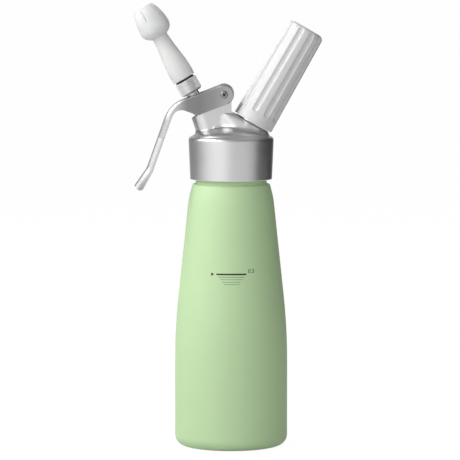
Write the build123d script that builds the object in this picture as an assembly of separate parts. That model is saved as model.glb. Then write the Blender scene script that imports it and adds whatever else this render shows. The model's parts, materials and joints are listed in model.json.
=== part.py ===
from build123d import *
import os
from math import asin, atan2, cos, degrees, pi, radians, sin, sqrt, tan

os.makedirs("parts", exist_ok=True)

# A half-litre cream whipper. Millimetres, +Z up. The origin is on the bottle's axis at its foot,
# +X points to the charger holder and -X to the decorator tip and the lever's handle.

# ---- clearances ------------------------------------------------------------------------------
RUNNING_FIT = 0.05          # radial, shaft in its bore
MOVING_GAP = 0.3            # between pieces of different bodies that only pass each other
SEAT_GAP = 0.02             # radial, between pieces of one body that are screwed or pushed home
CUT_PAST = 1.0              # how far a cutter runs past the face that it opens
THROUGH = 60.0              # length of a cutter that goes right through
EDGE_R = 0.5                # broken edge of a turned or moulded piece
FINE_EDGE_R = 0.3

# ---- bottle ----------------------------------------------------------------------------------
BOTTLE_R = 40.0
BOTTLE_WALL = 1.5
TAPER_CORNER_Z = 83.0       # where the straight wall and the tapering wall would meet
TAPER_BLEND_R = 430.0
SHOULDER_TOP_Z = 186.6
SHOULDER_HEIGHT = 9.6       # shoulder's edge down to where it and the tapering wall would meet
SHOULDER_FLARE = 2.6        # shoulder's edge out to the same corner
SHOULDER_LEDGE = 2.2        # neck to the shoulder's edge
SHOULDER_BLEND_R = 60.0
SHOULDER_EDGE_R = 1.2
FOOT_EDGE_R = 7.3
FOOT_RING_INSET = 9.0       # bottle's side to the inner edge of the ring that it stands on
FOOT_RECESS = 2.5
NECK_R = 25.2               # crest of the neck's thread, and the plain band below it
NECK_WALL = 2.0             # below the thread's root
NECK_HEIGHT = 27.4          # shoulder to rim
NECK_BAND = 4.0             # height of the plain band
NECK_THREAD_DEPTH = 0.8
RIM_EDGE_R = 0.7

# ---- head ------------------------------------------------------------------------------------
COLLAR_ABOVE_SHOULDER = 3.3
COLLAR_WALL = 2.7
COLLAR_FLARE = 1.3
COLLAR_LEDGE = 5.0          # collar's side to the skirt
COLLAR_EDGE_R = 2.8
COLLAR_LIP_R = 0.4
GASKET_THICK = 2.5
GASKET_WIDTH = 4.2
HEAD_ROOF = 3.6             # gasket to the collar's top
SKIRT_STEP = 2.0            # height of the step from the collar's top to the skirt
SKIRT_RISE = 8.0            # the skirt's cone, from its edge to its middle
SKIRT_EDGE_R = 0.8
SKIRT_FOOT_R = 1.0
AXIS_TILT = 30.0            # degrees, nozzle axis to the left and charger axis to the right
AXES_MEET_DEPTH = 16.9      # collar's top down to where the two axes meet

NOZZLE_BOSS_TOP = 39.8      # along the nozzle axis
NOZZLE_BOSS_WALL = 1.5      # round the spring's pocket
NOZZLE_BOSS_LEAN = 18.4     # degrees, slope of the boss's outer end
NOZZLE_BOSS_EDGE_R = 0.8
NOZZLE_BOSS_BLEND_R = 2.5   # cove round its foot
CHARGER_BOSS_TOP = 30.2     # along the charger axis
CHARGER_BOSS_R = 13.8
CHARGER_BOSS_FOOT_R = 17.0
CHARGER_BOSS_FOOT = 12.0
CHARGER_BOSS_EDGE_R = 1.6
CHARGER_BOSS_BLEND_R = 4.0

# ---- lever's hinge ---------------------------------------------------------------------------
PIVOT_ASIDE = 19.1          # nozzle axis to the pin, square to the axis
PIVOT_ABOVE_BOSS = 3.1      # along the nozzle axis
EAR_R = 5.2
SHEET = 1.5                 # the lever's pressed sheet
PIN_R = 2.2
PIN_HEAD_R = 3.2
PIN_HEAD_THICK = 1.2
PIN_SETBACK = 0.4           # near cheek's face to the barrel's end
SCREW_HEAD_R = 2.75
SCREW_HEAD_THICK = 1.5
SCREW_DOME_R = 1.2
SCREW_R = 1.5
SCREW_LENGTH = 9.0
CROSS_WIDTH = 0.75
CROSS_SPAN = 3.2
CROSS_DEPTH = 0.9
CROSS_TURN = 45.0

# ---- lever -----------------------------------------------------------------------------------
WEB_TILT = 8.8              # degrees, the web at rest against the plane square to the stem
BEND_REACH = 39.1           # pin to where web and handle would meet, level
BEND_OUTER_R = 22.0
HANDLE_SLOPE = 19.6         # degrees from upright
HANDLE_DEPTH = 5.1          # depth of the channel down the handle
KICK_DROP = 52.5            # pin down to the kick
KICK_SLOPE = 35.0           # degrees from upright, the turned-out end
KICK_R = 12.0
KICK_LENGTH = 15.6
KICK_DEPTH = 6.8
HANDLE_END_R = 2.6
CHEEK_LOW_REACH = 18.7      # pin to the lowest corner of the cheeks, level
CHEEK_LOW_DROP = 14.6
CHEEK_LOW_R = 3.0
CHEEK_ARCH_DROP = 9.0       # pin down to the corner of the arch between cheeks and handle
CHEEK_ARCH_R = 7.0
CHANNEL_DEPTH = 15.0        # deeper than the cheeks reach below the web
WEB_EDGE_R = 1.3            # outside of the bends between web and cheeks
HANDLE_EDGE_R = 4.6         # the same down the handle, which is rounded for the fingers
INNER_BEND_R = 0.3          # least rounding inside a bend
HANDLE_HALF = 9.0           # half the handle's width
HANDLE_TAPER = 14.0         # length over which the channel narrows to it
HANDLE_PLAN_R = 6.0         # rounding of the handle's end, seen from the front

# ---- valve, along the nozzle axis --------------------------------------------------------------
STEM_R = 4.5
STEM_FOOT = 14.5            # underside of the valve's flange
FLANGE_R = 7.9
FLANGE_THICK = 2.5
VALVE_SEAL_INSET = 0.4      # flange's side to the seal's
VALVE_SEAL_THICK = 2.6
VALVE_POCKET_GAP = 0.7      # round the flange, for the cream
CREAM_BORE_R = 1.9
CROSS_PORT_R = 1.4
CROSS_PORT_ABOVE_SEAT = 2.2
RING_GROOVE_DROP = 6.8      # boss's top down to the groove's middle
RING_GROOVE_WIDTH = 2.0
RING_GROOVE_DEPTH = 1.1
SPRING_POCKET_DEPTH = 3.0
SPRING_POCKET_GAP = 0.9     # round the spring
SPRING_WIRE_R = 0.6
SPRING_STEM_GAP = 1.3       # stem to the spring's inside
SPRING_TURNS = 3.5
SPRING_COLLAR_HEIGHT = 4.6  # spring to the lever's web
SPRING_CROWN_R = 12.0
SLOT_SIDE_GAP = 0.7         # stem to the side of the lever's slot
SLOT_LENGTH = 15.0
SLOT_SHIFT = 0.7            # the slot's middle past the nozzle axis, for the lever's swing
NUT_R = 8.0
NUT_ABOVE_WEB = 3.6         # web's underside on the stem to the nut
NUT_HEIGHT = 10.0
NUT_CHAMFER = 1.2           # at the lever's end
NUT_TOP_CHAMFER = 0.4
STUB_STEP = 0.5             # stem to the thinner stub in the nut and the tip
STUB_LENGTH = 7.0           # past the nut, inside the tip
TIP_SEAL_R = 6.85
TIP_SEAL_THICK = 1.2

# ---- decorator tip, along the nozzle axis from its foot ---------------------------------------
TIP_FOOT_R = 8.2
TIP_BARREL_R = 8.4
TIP_BARREL_AT = 6.5
TIP_MID_R = 6.95
TIP_MID_AT = 20.5
TIP_NECK_R = 5.6
TIP_NECK_AT = 34.4
TIP_CUP_FLANK_R = 9.6
TIP_CUP_FLANK_AT = 37.1
TIP_CUP_R = 11.1
TIP_CUP_AT = 43.0
TIP_PETAL_R = 9.7
TIP_PETAL_AT = 51.5
TIP_MOUTH_R = 7.0
TIP_LENGTH = 58.0
TIP_WALL = 1.3
TIP_SOCKET_DEPTH = 9.0
TIP_CHANNEL_R = 2.6
PETALS = 5
NOTCH_DEPTH = 11.0
NOTCH_WIDTH = 2.4
NOTCH_TURN = -105.0         # degrees about the nozzle axis to the first notch

# ---- charger and its holder, along the charger axis -------------------------------------------
SPIGOT_R = 10.5             # crest of its thread, and the plain band below it
SPIGOT_BAND = 2.0
SPIGOT_THREAD_DEPTH = 0.7
SPIGOT_HEIGHT = 12.8
SPIGOT_EDGE_R = 0.8
SHANK_R = 6.5
SHANK_LENGTH = 4.6
SOCKET_PLAY = 0.35          # radial, round the charger's neck
SOCKET_DEPTH = 6.4
GAS_BORE_R = 1.0
CHARGER_SEAL_THICK = 1.4
CHARGER_SEAL_BORE_R = 1.9
PIERCE_R = 1.1
PIERCE_LENGTH = 3.6
PIERCE_CONE = 1.8
PIERCE_BORE_R = 0.45
PIERCE_ROOT = 3.0           # how deep the pin is pressed in
CHECK_R = 4.3
CHECK_LENGTH = 3.6
CHECK_WALL = 1.2
CHECK_SLIT = 0.4
GAS_PASSAGE_R = 2.5
CHARGER_R = 8.9
CHARGER_LENGTH = 65.5
CHARGER_NECK_R = 4.15
CHARGER_NECK = 7.5
CHARGER_SHOULDER_R = 6.0
CHARGER_WALL = 1.8
HOLDER_GAP = 0.8            # boss face to the holder's rim
HOLDER_RIM_WALL = 2.5       # round the insert
HOLDER_TAPER = 1.3          # how much slimmer the top is than the rim
HOLDER_LENGTH = 76.5
HOLDER_EDGE_R = 4.0
CHARGER_PLAY = 0.5          # radial, in the holder
INSERT_WALL = 0.9           # outside its thread
INSERT_LENGTH = 13.5
INSERT_SETBACK = 1.0        # holder's rim to the insert
FLUTES = 10
FLUTE_CUTTER_R = 3.0
FLUTE_WIDTH = 5.0
FLUTE_START = 7.0           # holder's rim to the flutes' round ends
FLUTE_TURN = -104.5         # degrees about the charger axis to the first flute
VENT_WIDTH = 8.5
VENT_HEIGHT = 8.0
VENT_TURN = -167.0          # degrees about the charger axis

# ---- sizes that follow --------------------------------------------------------------------------
FOOT_RING_R = BOTTLE_R - FOOT_RING_INSET
NECK_ROOT_R = NECK_R - NECK_THREAD_DEPTH
NECK_BORE_R = NECK_ROOT_R - NECK_WALL
SHOULDER_TOP_R = NECK_R + SHOULDER_LEDGE
SHOULDER_CORNER_R = SHOULDER_TOP_R + SHOULDER_FLARE
SHOULDER_CORNER_Z = SHOULDER_TOP_Z - SHOULDER_HEIGHT
RIM_Z = SHOULDER_TOP_Z + NECK_HEIGHT
CEILING_Z = RIM_Z + MOVING_GAP + GASKET_THICK

COLLAR_BORE_R = NECK_R + MOVING_GAP + NECK_THREAD_DEPTH
COLLAR_LOW_R = COLLAR_BORE_R + COLLAR_WALL
COLLAR_TOP_R = COLLAR_LOW_R + COLLAR_FLARE
COLLAR_LOW_Z = SHOULDER_TOP_Z + COLLAR_ABOVE_SHOULDER
COLLAR_TOP_Z = CEILING_Z + HEAD_ROOF
SKIRT_R = COLLAR_TOP_R - COLLAR_LEDGE
SKIRT_Z = COLLAR_TOP_Z + SKIRT_STEP
AXES_MEET_Z = COLLAR_TOP_Z - AXES_MEET_DEPTH

VALVE_SEAL_R = FLANGE_R - VALVE_SEAL_INSET
VALVE_POCKET_R = FLANGE_R + VALVE_POCKET_GAP
VALVE_SEAT = STEM_FOOT + FLANGE_THICK + VALVE_SEAL_THICK + MOVING_GAP
RING_GROOVE_AT = NOZZLE_BOSS_TOP - RING_GROOVE_DROP
STUB_R = STEM_R - STUB_STEP
SPRING_R = STEM_R + SPRING_STEM_GAP + SPRING_WIRE_R      # to the middle of the wire
SPRING_COLLAR_R = SPRING_R + SPRING_WIRE_R
SPRING_POCKET_R = SPRING_COLLAR_R + SPRING_POCKET_GAP
SLOT_HALF = STEM_R + SLOT_SIDE_GAP
NOZZLE_BOSS_HALF = SPRING_POCKET_R + NOZZLE_BOSS_WALL

SOCKET_R = CHARGER_NECK_R + SOCKET_PLAY
SPIGOT_ROOT_R = SPIGOT_R - SPIGOT_THREAD_DEPTH
SPIGOT_TOP = CHARGER_BOSS_TOP + SPIGOT_HEIGHT
SOCKET_FLOOR = SPIGOT_TOP - SOCKET_DEPTH
SHANK_FOOT = CHARGER_BOSS_TOP - SHANK_LENGTH
CHARGER_FOOT = SOCKET_FLOOR + CHARGER_SEAL_THICK + MOVING_GAP
CHARGER_END = CHARGER_FOOT + CHARGER_LENGTH
INSERT_BORE_R = SPIGOT_R + MOVING_GAP + SPIGOT_THREAD_DEPTH
INSERT_R = INSERT_BORE_R + INSERT_WALL
HOLDER_BORE_R = CHARGER_R + CHARGER_PLAY
HOLDER_RIM_R = INSERT_R + HOLDER_RIM_WALL
HOLDER_TOP_R = HOLDER_RIM_R - HOLDER_TAPER
HOLDER_FOOT = CHARGER_BOSS_TOP + HOLDER_GAP
HOLDER_END = HOLDER_FOOT + HOLDER_LENGTH
INSERT_FOOT = HOLDER_FOOT + INSERT_SETBACK

NOZZLE = Plane(
    origin=(0, 0, AXES_MEET_Z),
    x_dir=(cos(radians(AXIS_TILT)), 0, sin(radians(AXIS_TILT))),
    z_dir=(-sin(radians(AXIS_TILT)), 0, cos(radians(AXIS_TILT))),
)
CHARGER = Plane(
    origin=(0, 0, AXES_MEET_Z),
    x_dir=(cos(radians(AXIS_TILT)), 0, -sin(radians(AXIS_TILT))),
    z_dir=(sin(radians(AXIS_TILT)), 0, cos(radians(AXIS_TILT))),
)
PIVOT_ON_STEM = NOZZLE_BOSS_TOP + PIVOT_ABOVE_BOSS
PIVOT_X = NOZZLE.from_local_coords((PIVOT_ASIDE, 0, PIVOT_ON_STEM)).X
PIVOT_Z = NOZZLE.from_local_coords((PIVOT_ASIDE, 0, PIVOT_ON_STEM)).Z
PIVOT_AXIS = Plane(origin=(PIVOT_X, 0, PIVOT_Z), x_dir=(1, 0, 0), z_dir=(0, -1, 0))

LEVER_INNER_HALF = NOZZLE_BOSS_HALF + MOVING_GAP
LEVER_OUTER_HALF = LEVER_INNER_HALF + SHEET
LEVER_END_R = EAR_R + MOVING_GAP + SHEET
WEB_SLOPE = AXIS_TILT - WEB_TILT
WEB_ON_STEM = (                             # web's underside where the stem passes
    PIVOT_ON_STEM
    + (LEVER_END_R - SHEET) / cos(radians(WEB_TILT))
    + PIVOT_ASIDE * tan(radians(WEB_TILT))
)
SPRING_COLLAR_LOW = WEB_ON_STEM - SPRING_COLLAR_HEIGHT
NUT_LOW = WEB_ON_STEM + NUT_ABOVE_WEB
NUT_TOP = NUT_LOW + NUT_HEIGHT
TIP_FOOT = NUT_TOP + TIP_SEAL_THICK + MOVING_GAP


def turned(*corners):
    """A solid turned about Z from (radius, height) corners, each with its own rounding or none."""
    points = [(c[0], c[1]) for c in corners]
    roundings = [c[2] if len(c) > 2 else 0 for c in corners]
    outline = FilletPolyline(*points, radius=roundings, close=True)
    return revolve(make_face(Plane.XZ * outline), Axis.Z)


def rod(radius, low, high):
    """A round bar on Z."""
    return Pos(0, 0, (low + high) / 2) * Cylinder(radius, high - low)


def tube(bore, radius, low, high):
    """A round sleeve on Z."""
    return rod(radius, low, high) - rod(bore, low - CUT_PAST, high + CUT_PAST)


def on_nozzle(shape):
    """Stand a piece that was made on Z on the nozzle axis."""
    return NOZZLE.location * shape


def on_charger(shape):
    """Stand a piece that was made on Z on the charger axis."""
    return CHARGER.location * shape


def side_plate(outline, half):
    """Extrude a face drawn in the XZ plane to both sides."""
    return extrude(outline, amount=half, both=True)


# ---- bottle ------------------------------------------------------------------------------------
def bottle():
    """A drawn aluminium bottle of even wall, with a recessed foot and a neck turned for its thread."""
    inner_floor = FOOT_RECESS + BOTTLE_WALL
    shoulder_slope = (SHOULDER_CORNER_R - SHOULDER_TOP_R) / (SHOULDER_TOP_Z - SHOULDER_CORNER_Z)
    inner_top_r = SHOULDER_TOP_R - BOTTLE_WALL * (1 - shoulder_slope)
    runout_r = NECK_THREAD_DEPTH / 3
    return turned(
        (0, FOOT_RECESS),
        (FOOT_RING_R - 2 * FOOT_RECESS, FOOT_RECESS, FOOT_RECESS),
        (FOOT_RING_R, 0, FOOT_RECESS / 2),
        (BOTTLE_R, 0, FOOT_EDGE_R),
        (BOTTLE_R, TAPER_CORNER_Z, TAPER_BLEND_R),
        (SHOULDER_CORNER_R, SHOULDER_CORNER_Z, SHOULDER_BLEND_R),
        (SHOULDER_TOP_R, SHOULDER_TOP_Z, SHOULDER_EDGE_R),
        (NECK_R, SHOULDER_TOP_Z, SHOULDER_EDGE_R / 2),
        (NECK_R, SHOULDER_TOP_Z + NECK_BAND, runout_r),
        (NECK_ROOT_R, SHOULDER_TOP_Z + NECK_BAND, runout_r),
        (NECK_ROOT_R, RIM_Z, RIM_EDGE_R),
        (NECK_BORE_R, RIM_Z, RIM_EDGE_R),
        (NECK_BORE_R, SHOULDER_TOP_Z - BOTTLE_WALL, SHOULDER_EDGE_R),
        (inner_top_r, SHOULDER_TOP_Z - BOTTLE_WALL, SHOULDER_EDGE_R / 2),
        (SHOULDER_CORNER_R - BOTTLE_WALL, SHOULDER_CORNER_Z, SHOULDER_BLEND_R),
        (BOTTLE_R - BOTTLE_WALL, TAPER_CORNER_Z, TAPER_BLEND_R),
        (BOTTLE_R - BOTTLE_WALL, inner_floor, FOOT_EDGE_R - BOTTLE_WALL),
        (0, inner_floor),
    )


# ---- head --------------------------------------------------------------------------------------
def skirt_height(radius):
    """Height of the cone's face at a radius."""
    return SKIRT_Z + SKIRT_RISE * (1 - radius / SKIRT_R)


def head_collar():
    """The threaded collar with its rounded shoulder and the low cone that carries the bosses."""
    return turned(
        (0, COLLAR_LOW_Z),
        (COLLAR_LOW_R, COLLAR_LOW_Z, COLLAR_LIP_R),
        (COLLAR_TOP_R, COLLAR_TOP_Z, COLLAR_EDGE_R),
        (SKIRT_R, COLLAR_TOP_Z, SKIRT_FOOT_R),
        (SKIRT_R, SKIRT_Z, SKIRT_EDGE_R),
        (0, skirt_height(0)),
    )


def nozzle_boss():
    """The upright boss: flat flanks, a round leaning end and an ear for the lever's pin."""
    lean = radians(NOZZLE_BOSS_LEAN)
    left_top = NOZZLE.from_local_coords((-NOZZLE_BOSS_HALF, 0, NOZZLE_BOSS_TOP))
    drop = left_top.Z - COLLAR_TOP_Z
    ear_left = PIVOT_X - EAR_R
    ear_right = PIVOT_X + EAR_R
    side = Polyline(
        (left_top.X + drop * tan(lean), COLLAR_TOP_Z),
        (left_top.X, left_top.Z),
        (ear_left, left_top.Z + (ear_left - left_top.X) * tan(radians(AXIS_TILT))),
        (ear_left, PIVOT_Z),
        (ear_right, PIVOT_Z),
        (ear_right, COLLAR_TOP_Z),
        close=True,
    )
    face = make_face(Plane.XZ * side) + Plane.XZ * (Pos(PIVOT_X, PIVOT_Z) * Circle(EAR_R))
    end_axis = Plane(
        origin=(left_top.X + NOZZLE_BOSS_HALF / cos(lean), 0, left_top.Z),
        x_dir=(cos(lean), 0, sin(lean)),
        z_dir=(-sin(lean), 0, cos(lean)),
    )
    blank = Cylinder(NOZZLE_BOSS_HALF, 2 * THROUGH)
    blank += Pos(THROUGH / 2, 0, 0) * Box(THROUGH, 2 * NOZZLE_BOSS_HALF, 2 * THROUGH)
    boss = (end_axis.location * blank) & side_plate(face, 2 * NOZZLE_BOSS_HALF)
    top = boss.faces().filter_by(GeomType.PLANE).sort_by(lambda f: f.normal_at().dot(NOZZLE.z_dir))[-1]
    top_edges = top.edges().filter_by(Axis.Y, reverse=True)
    return fillet(top_edges, NOZZLE_BOSS_EDGE_R)


def charger_boss():
    """The round foot that the charger holder screws down on."""
    cone = turned(
        (0, CHARGER_BOSS_FOOT),
        (CHARGER_BOSS_FOOT_R, CHARGER_BOSS_FOOT),
        (CHARGER_BOSS_R, CHARGER_BOSS_TOP, CHARGER_BOSS_EDGE_R),
        (0, CHARGER_BOSS_TOP),
    )
    return on_charger(cone)


def boss_cove(boss, radius):
    """The cove round a boss's foot on the cone, cut off at the cone's turned edge."""
    lean = tan(radians(NOZZLE_BOSS_LEAN))
    reach = COLLAR_TOP_R
    ear_top = PIVOT_Z + EAR_R
    cone = turned(
        (0, COLLAR_LOW_Z),
        (reach, COLLAR_LOW_Z),
        (reach, skirt_height(reach)),
        (0, skirt_height(0)),
    )
    inside_edge = turned(
        (0, COLLAR_TOP_Z),
        (SKIRT_R, COLLAR_TOP_Z),
        (SKIRT_R, SKIRT_Z),
        (SKIRT_R + (ear_top - SKIRT_Z) * lean, ear_top),
        (0, ear_top),
    )
    joined = cone + boss
    foot = new_edges(cone, boss, combined=joined).filter_by(
        lambda e: e.center().Z > skirt_height(reach)
    )
    return (fillet(foot, radius) - joined) & inside_edge


def head():
    """The cast head, from the collar's bore up to the ear."""
    charger, nozzle = charger_boss(), nozzle_boss()
    body = head_collar() + charger + nozzle
    body += boss_cove(charger, CHARGER_BOSS_BLEND_R)
    body += boss_cove(nozzle, NOZZLE_BOSS_BLEND_R)
    body -= rod(COLLAR_BORE_R, COLLAR_LOW_Z - CUT_PAST, CEILING_Z)
    below = CEILING_Z - AXES_MEET_Z - VALVE_POCKET_R
    body -= on_nozzle(rod(VALVE_POCKET_R, below, VALVE_SEAT))
    body -= on_nozzle(rod(STEM_R + RUNNING_FIT, below, NOZZLE_BOSS_TOP + CUT_PAST))
    spring_floor = NOZZLE_BOSS_TOP - SPRING_POCKET_DEPTH
    body -= on_nozzle(rod(SPRING_POCKET_R, spring_floor, NOZZLE_BOSS_TOP + NOZZLE_BOSS_HALF))
    body -= on_charger(rod(GAS_PASSAGE_R, below, SHANK_FOOT))
    body -= on_charger(rod(CHECK_R + MOVING_GAP, SHANK_FOOT - CHECK_LENGTH, SHANK_FOOT + CUT_PAST))
    body -= on_charger(rod(SHANK_R + SEAT_GAP, SHANK_FOOT, CHARGER_BOSS_TOP + CUT_PAST))
    body -= PIVOT_AXIS.location * Cylinder(PIN_R + RUNNING_FIT, THROUGH)
    return body


def head_gasket():
    """The flat silicone ring between the bottle's rim and the head."""
    outer = COLLAR_BORE_R - SEAT_GAP
    return tube(outer - GASKET_WIDTH, outer, CEILING_Z - GASKET_THICK, CEILING_Z)


# ---- valve on the nozzle axis ------------------------------------------------------------------
def valve_piston():
    """The stem: a flange below, a groove for its ring, cross ports and a bore for the cream."""
    stem_top = NUT_TOP + STUB_LENGTH
    port_at = VALVE_SEAT + CROSS_PORT_ABOVE_SEAT
    groove_low = RING_GROOVE_AT - RING_GROOVE_WIDTH / 2
    body = turned(
        (0, STEM_FOOT),
        (FLANGE_R, STEM_FOOT, EDGE_R),
        (FLANGE_R, STEM_FOOT + FLANGE_THICK),
        (STEM_R, STEM_FOOT + FLANGE_THICK),
        (STEM_R, groove_low),
        (STEM_R - RING_GROOVE_DEPTH, groove_low),
        (STEM_R - RING_GROOVE_DEPTH, groove_low + RING_GROOVE_WIDTH),
        (STEM_R, groove_low + RING_GROOVE_WIDTH),
        (STEM_R, NUT_LOW),
        (STUB_R, NUT_LOW),
        (STUB_R, stem_top, EDGE_R),
        (0, stem_top),
    )
    body -= rod(CREAM_BORE_R, port_at, stem_top + CUT_PAST)
    for turn in (0, 90):
        body -= Pos(0, 0, port_at) * Rot(90, 0, turn) * Cylinder(CROSS_PORT_R, THROUGH)
    return on_nozzle(body)


def piston_seal():
    """The rubber disc on the flange that closes the valve's seat."""
    low = STEM_FOOT + FLANGE_THICK
    return on_nozzle(tube(STEM_R + SEAT_GAP, VALVE_SEAL_R, low, low + VALVE_SEAL_THICK))


def stem_o_ring():
    """The ring in the stem's groove, which wipes the bore."""
    section = RING_GROOVE_DEPTH / 2
    ring = Torus(STEM_R - section, section - SEAT_GAP)
    return on_nozzle(Pos(0, 0, RING_GROOVE_AT) * ring)


def valve_spring():
    """The coil between the boss and the collar, at its length with the valve shut."""
    low = NOZZLE_BOSS_TOP - SPRING_POCKET_DEPTH + SPRING_WIRE_R + RUNNING_FIT
    high = SPRING_COLLAR_LOW - SPRING_WIRE_R - RUNNING_FIT
    path = Helix(pitch=(high - low) / SPRING_TURNS, height=high - low, radius=SPRING_R)
    wire = Plane(origin=path @ 0, z_dir=path % 0) * Circle(SPRING_WIRE_R)
    return on_nozzle(Pos(0, 0, low) * sweep(wire, path=path))


def spring_collar():
    """The crowned collar that the lever's web bears on, at the two sides of its slot."""
    crown_half = sqrt(SPRING_CROWN_R**2 - SLOT_HALF**2)
    crown_centre = WEB_ON_STEM - (crown_half + MOVING_GAP) / cos(radians(WEB_TILT))
    blank = tube(STEM_R + SEAT_GAP, SPRING_COLLAR_R, SPRING_COLLAR_LOW, WEB_ON_STEM)
    return on_nozzle(blank & (Pos(0, 0, crown_centre) * Sphere(SPRING_CROWN_R)))


def tip_adaptor():
    """The knurled nut on the stem's end."""
    nut = turned(
        (STUB_R + SEAT_GAP, NUT_LOW),
        (NUT_R - NUT_CHAMFER, NUT_LOW),
        (NUT_R, NUT_LOW + NUT_CHAMFER),
        (NUT_R, NUT_TOP - NUT_TOP_CHAMFER),
        (NUT_R - NUT_TOP_CHAMFER, NUT_TOP),
        (STUB_R + SEAT_GAP, NUT_TOP),
    )
    return on_nozzle(nut)


def tip_seal():
    """The black washer between the nut and the tip."""
    return on_nozzle(tube(STUB_R + SEAT_GAP, TIP_SEAL_R, NUT_TOP, NUT_TOP + TIP_SEAL_THICK))


def petal_notch():
    """The gap between two petals: a wedge, point down, that runs out past the mouth."""
    point = TIP_LENGTH - NOTCH_DEPTH
    reach = NOTCH_DEPTH + CUT_PAST
    half = reach * NOTCH_WIDTH / 2 / NOTCH_DEPTH
    wedge = Polyline((0, point), (half, point + reach), (-half, point + reach), close=True)
    return extrude(make_face(Plane.YZ * wedge), amount=2 * TIP_CUP_R)


def decorator_tip():
    """The tulip tip: a tapering barrel, a cup of petals and a socket for the stem's stub."""
    mouth_in = TIP_MOUTH_R - TIP_WALL
    floor = TIP_CUP_FLANK_AT
    socket_r = STUB_R + MOVING_GAP
    outline = [
        Spline(
            (TIP_FOOT_R, 0),
            (TIP_BARREL_R, TIP_BARREL_AT),
            (TIP_MID_R, TIP_MID_AT),
            (TIP_NECK_R, TIP_NECK_AT),
        ),
        ThreePointArc(
            (TIP_NECK_R, TIP_NECK_AT),
            (TIP_CUP_FLANK_R, TIP_CUP_FLANK_AT),
            (TIP_CUP_R, TIP_CUP_AT),
        ),
        Spline((TIP_CUP_R, TIP_CUP_AT), (TIP_PETAL_R, TIP_PETAL_AT), (TIP_MOUTH_R, TIP_LENGTH)),
        Line((TIP_MOUTH_R, TIP_LENGTH), (mouth_in, TIP_LENGTH)),
        Spline(
            (mouth_in, TIP_LENGTH),
            (TIP_PETAL_R - TIP_WALL, TIP_PETAL_AT),
            (TIP_CUP_R - TIP_WALL, TIP_CUP_AT),
        ),
        ThreePointArc(
            (TIP_CUP_R - TIP_WALL, TIP_CUP_AT),
            (TIP_CUP_FLANK_R - TIP_WALL, TIP_CUP_FLANK_AT + TIP_WALL),
            (TIP_CHANNEL_R, floor),
        ),
        Polyline(
            (TIP_CHANNEL_R, floor),
            (TIP_CHANNEL_R, TIP_SOCKET_DEPTH),
            (socket_r, TIP_SOCKET_DEPTH),
            (socket_r, 0),
            (TIP_FOOT_R, 0),
        ),
    ]
    profile = make_face((Curve() + outline).edges())
    body = revolve(Plane.XZ * profile, Axis.Z)
    for petal in range(PETALS):
        body -= Rot(0, 0, NOTCH_TURN + petal * 360 / PETALS) * petal_notch()
    return on_nozzle(Pos(0, 0, TIP_FOOT) * body)


# ---- lever -------------------------------------------------------------------------------------
def lever_line(inset):
    """Corners along the web's outer face, or inside it: pivot end, bend, kick and end."""
    slope = radians(WEB_SLOPE)
    grip = radians(HANDLE_SLOPE)
    kick = radians(KICK_SLOPE)
    reach = LEVER_END_R - inset
    bend_x, kick_z = PIVOT_X - BEND_REACH, PIVOT_Z - KICK_DROP
    start = Vector(PIVOT_X - reach * sin(slope), PIVOT_Z + reach * cos(slope))
    outer_start = Vector(PIVOT_X - LEVER_END_R * sin(slope), PIVOT_Z + LEVER_END_R * cos(slope))
    outer_bend = Vector(bend_x, outer_start.Y - (outer_start.X - bend_x) * tan(slope))
    outer_kick = Vector(bend_x - (outer_bend.Y - kick_z) * tan(grip), kick_z)
    outer_end = outer_kick - KICK_LENGTH * Vector(sin(kick), cos(kick))
    bend_half = (pi / 2 - slope - grip) / 2
    bend_in = Vector(sin(slope + bend_half), -cos(slope + bend_half)) / cos(bend_half)
    kick_half = (kick - grip) / 2
    kick_in = Vector(cos(grip + kick_half), -sin(grip + kick_half)) / cos(kick_half)
    return [
        start,
        outer_bend + inset * bend_in,
        outer_kick + inset * kick_in,
        outer_end + inset * Vector(cos(kick), -sin(kick)),
    ]


def channel_section(line, at, half, edge_r, depth):
    """The channel's outline, square to the web's line at a share of its length."""
    corners = [(-half, depth), (-half, 0), (half, 0), (half, depth)]
    outline = FilletPolyline(*corners, radius=[0, edge_r, edge_r, 0], close=True)
    return Plane(origin=line @ at, x_dir=(0, 1, 0), z_dir=line % at) * make_face(outline)


def channel(inset, ahead, past):
    """The pressed channel as a solid bar, or inset by the sheet and longer to hollow it.

    Its bends are tight over the boss, grow round the bend and stay round down the handle, which
    is narrower.
    """
    start, bend, kick, end = lever_line(inset)
    first = start + ahead * (start - bend).normalized()
    last = end + past * (end - kick).normalized()
    corners = [(c.X, c.Y) for c in (first, bend, kick, last)]
    web = Plane.XZ * FilletPolyline(*corners, radius=[BEND_OUTER_R - inset, KICK_R + inset])
    top, turn, grip, flick, foot = web.edges()
    wide, slim = LEVER_OUTER_HALF - inset, HANDLE_HALF - inset
    web_r, grip_r = max(WEB_EDGE_R - inset, INNER_BEND_R), HANDLE_EDGE_R - inset
    depth = CHANNEL_DEPTH + inset
    taper_end = HANDLE_TAPER / grip.length
    handle = Line(grip @ taper_end, grip @ 1)
    bar = sweep(channel_section(top, 0, wide, web_r, depth), path=top)
    bend_sections = [
        channel_section(turn, 0, wide, web_r, depth),
        channel_section(turn, 1, wide, grip_r, depth),
    ]
    bar += sweep(bend_sections, path=turn, multisection=True)
    taper_sections = [
        channel_section(grip, 0, wide, grip_r, depth),
        channel_section(grip, taper_end, slim, grip_r, depth),
    ]
    bar += loft(taper_sections)
    bar += sweep(channel_section(handle, 0, slim, grip_r, depth), path=Wire([handle, flick, foot]))
    return bar


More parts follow.
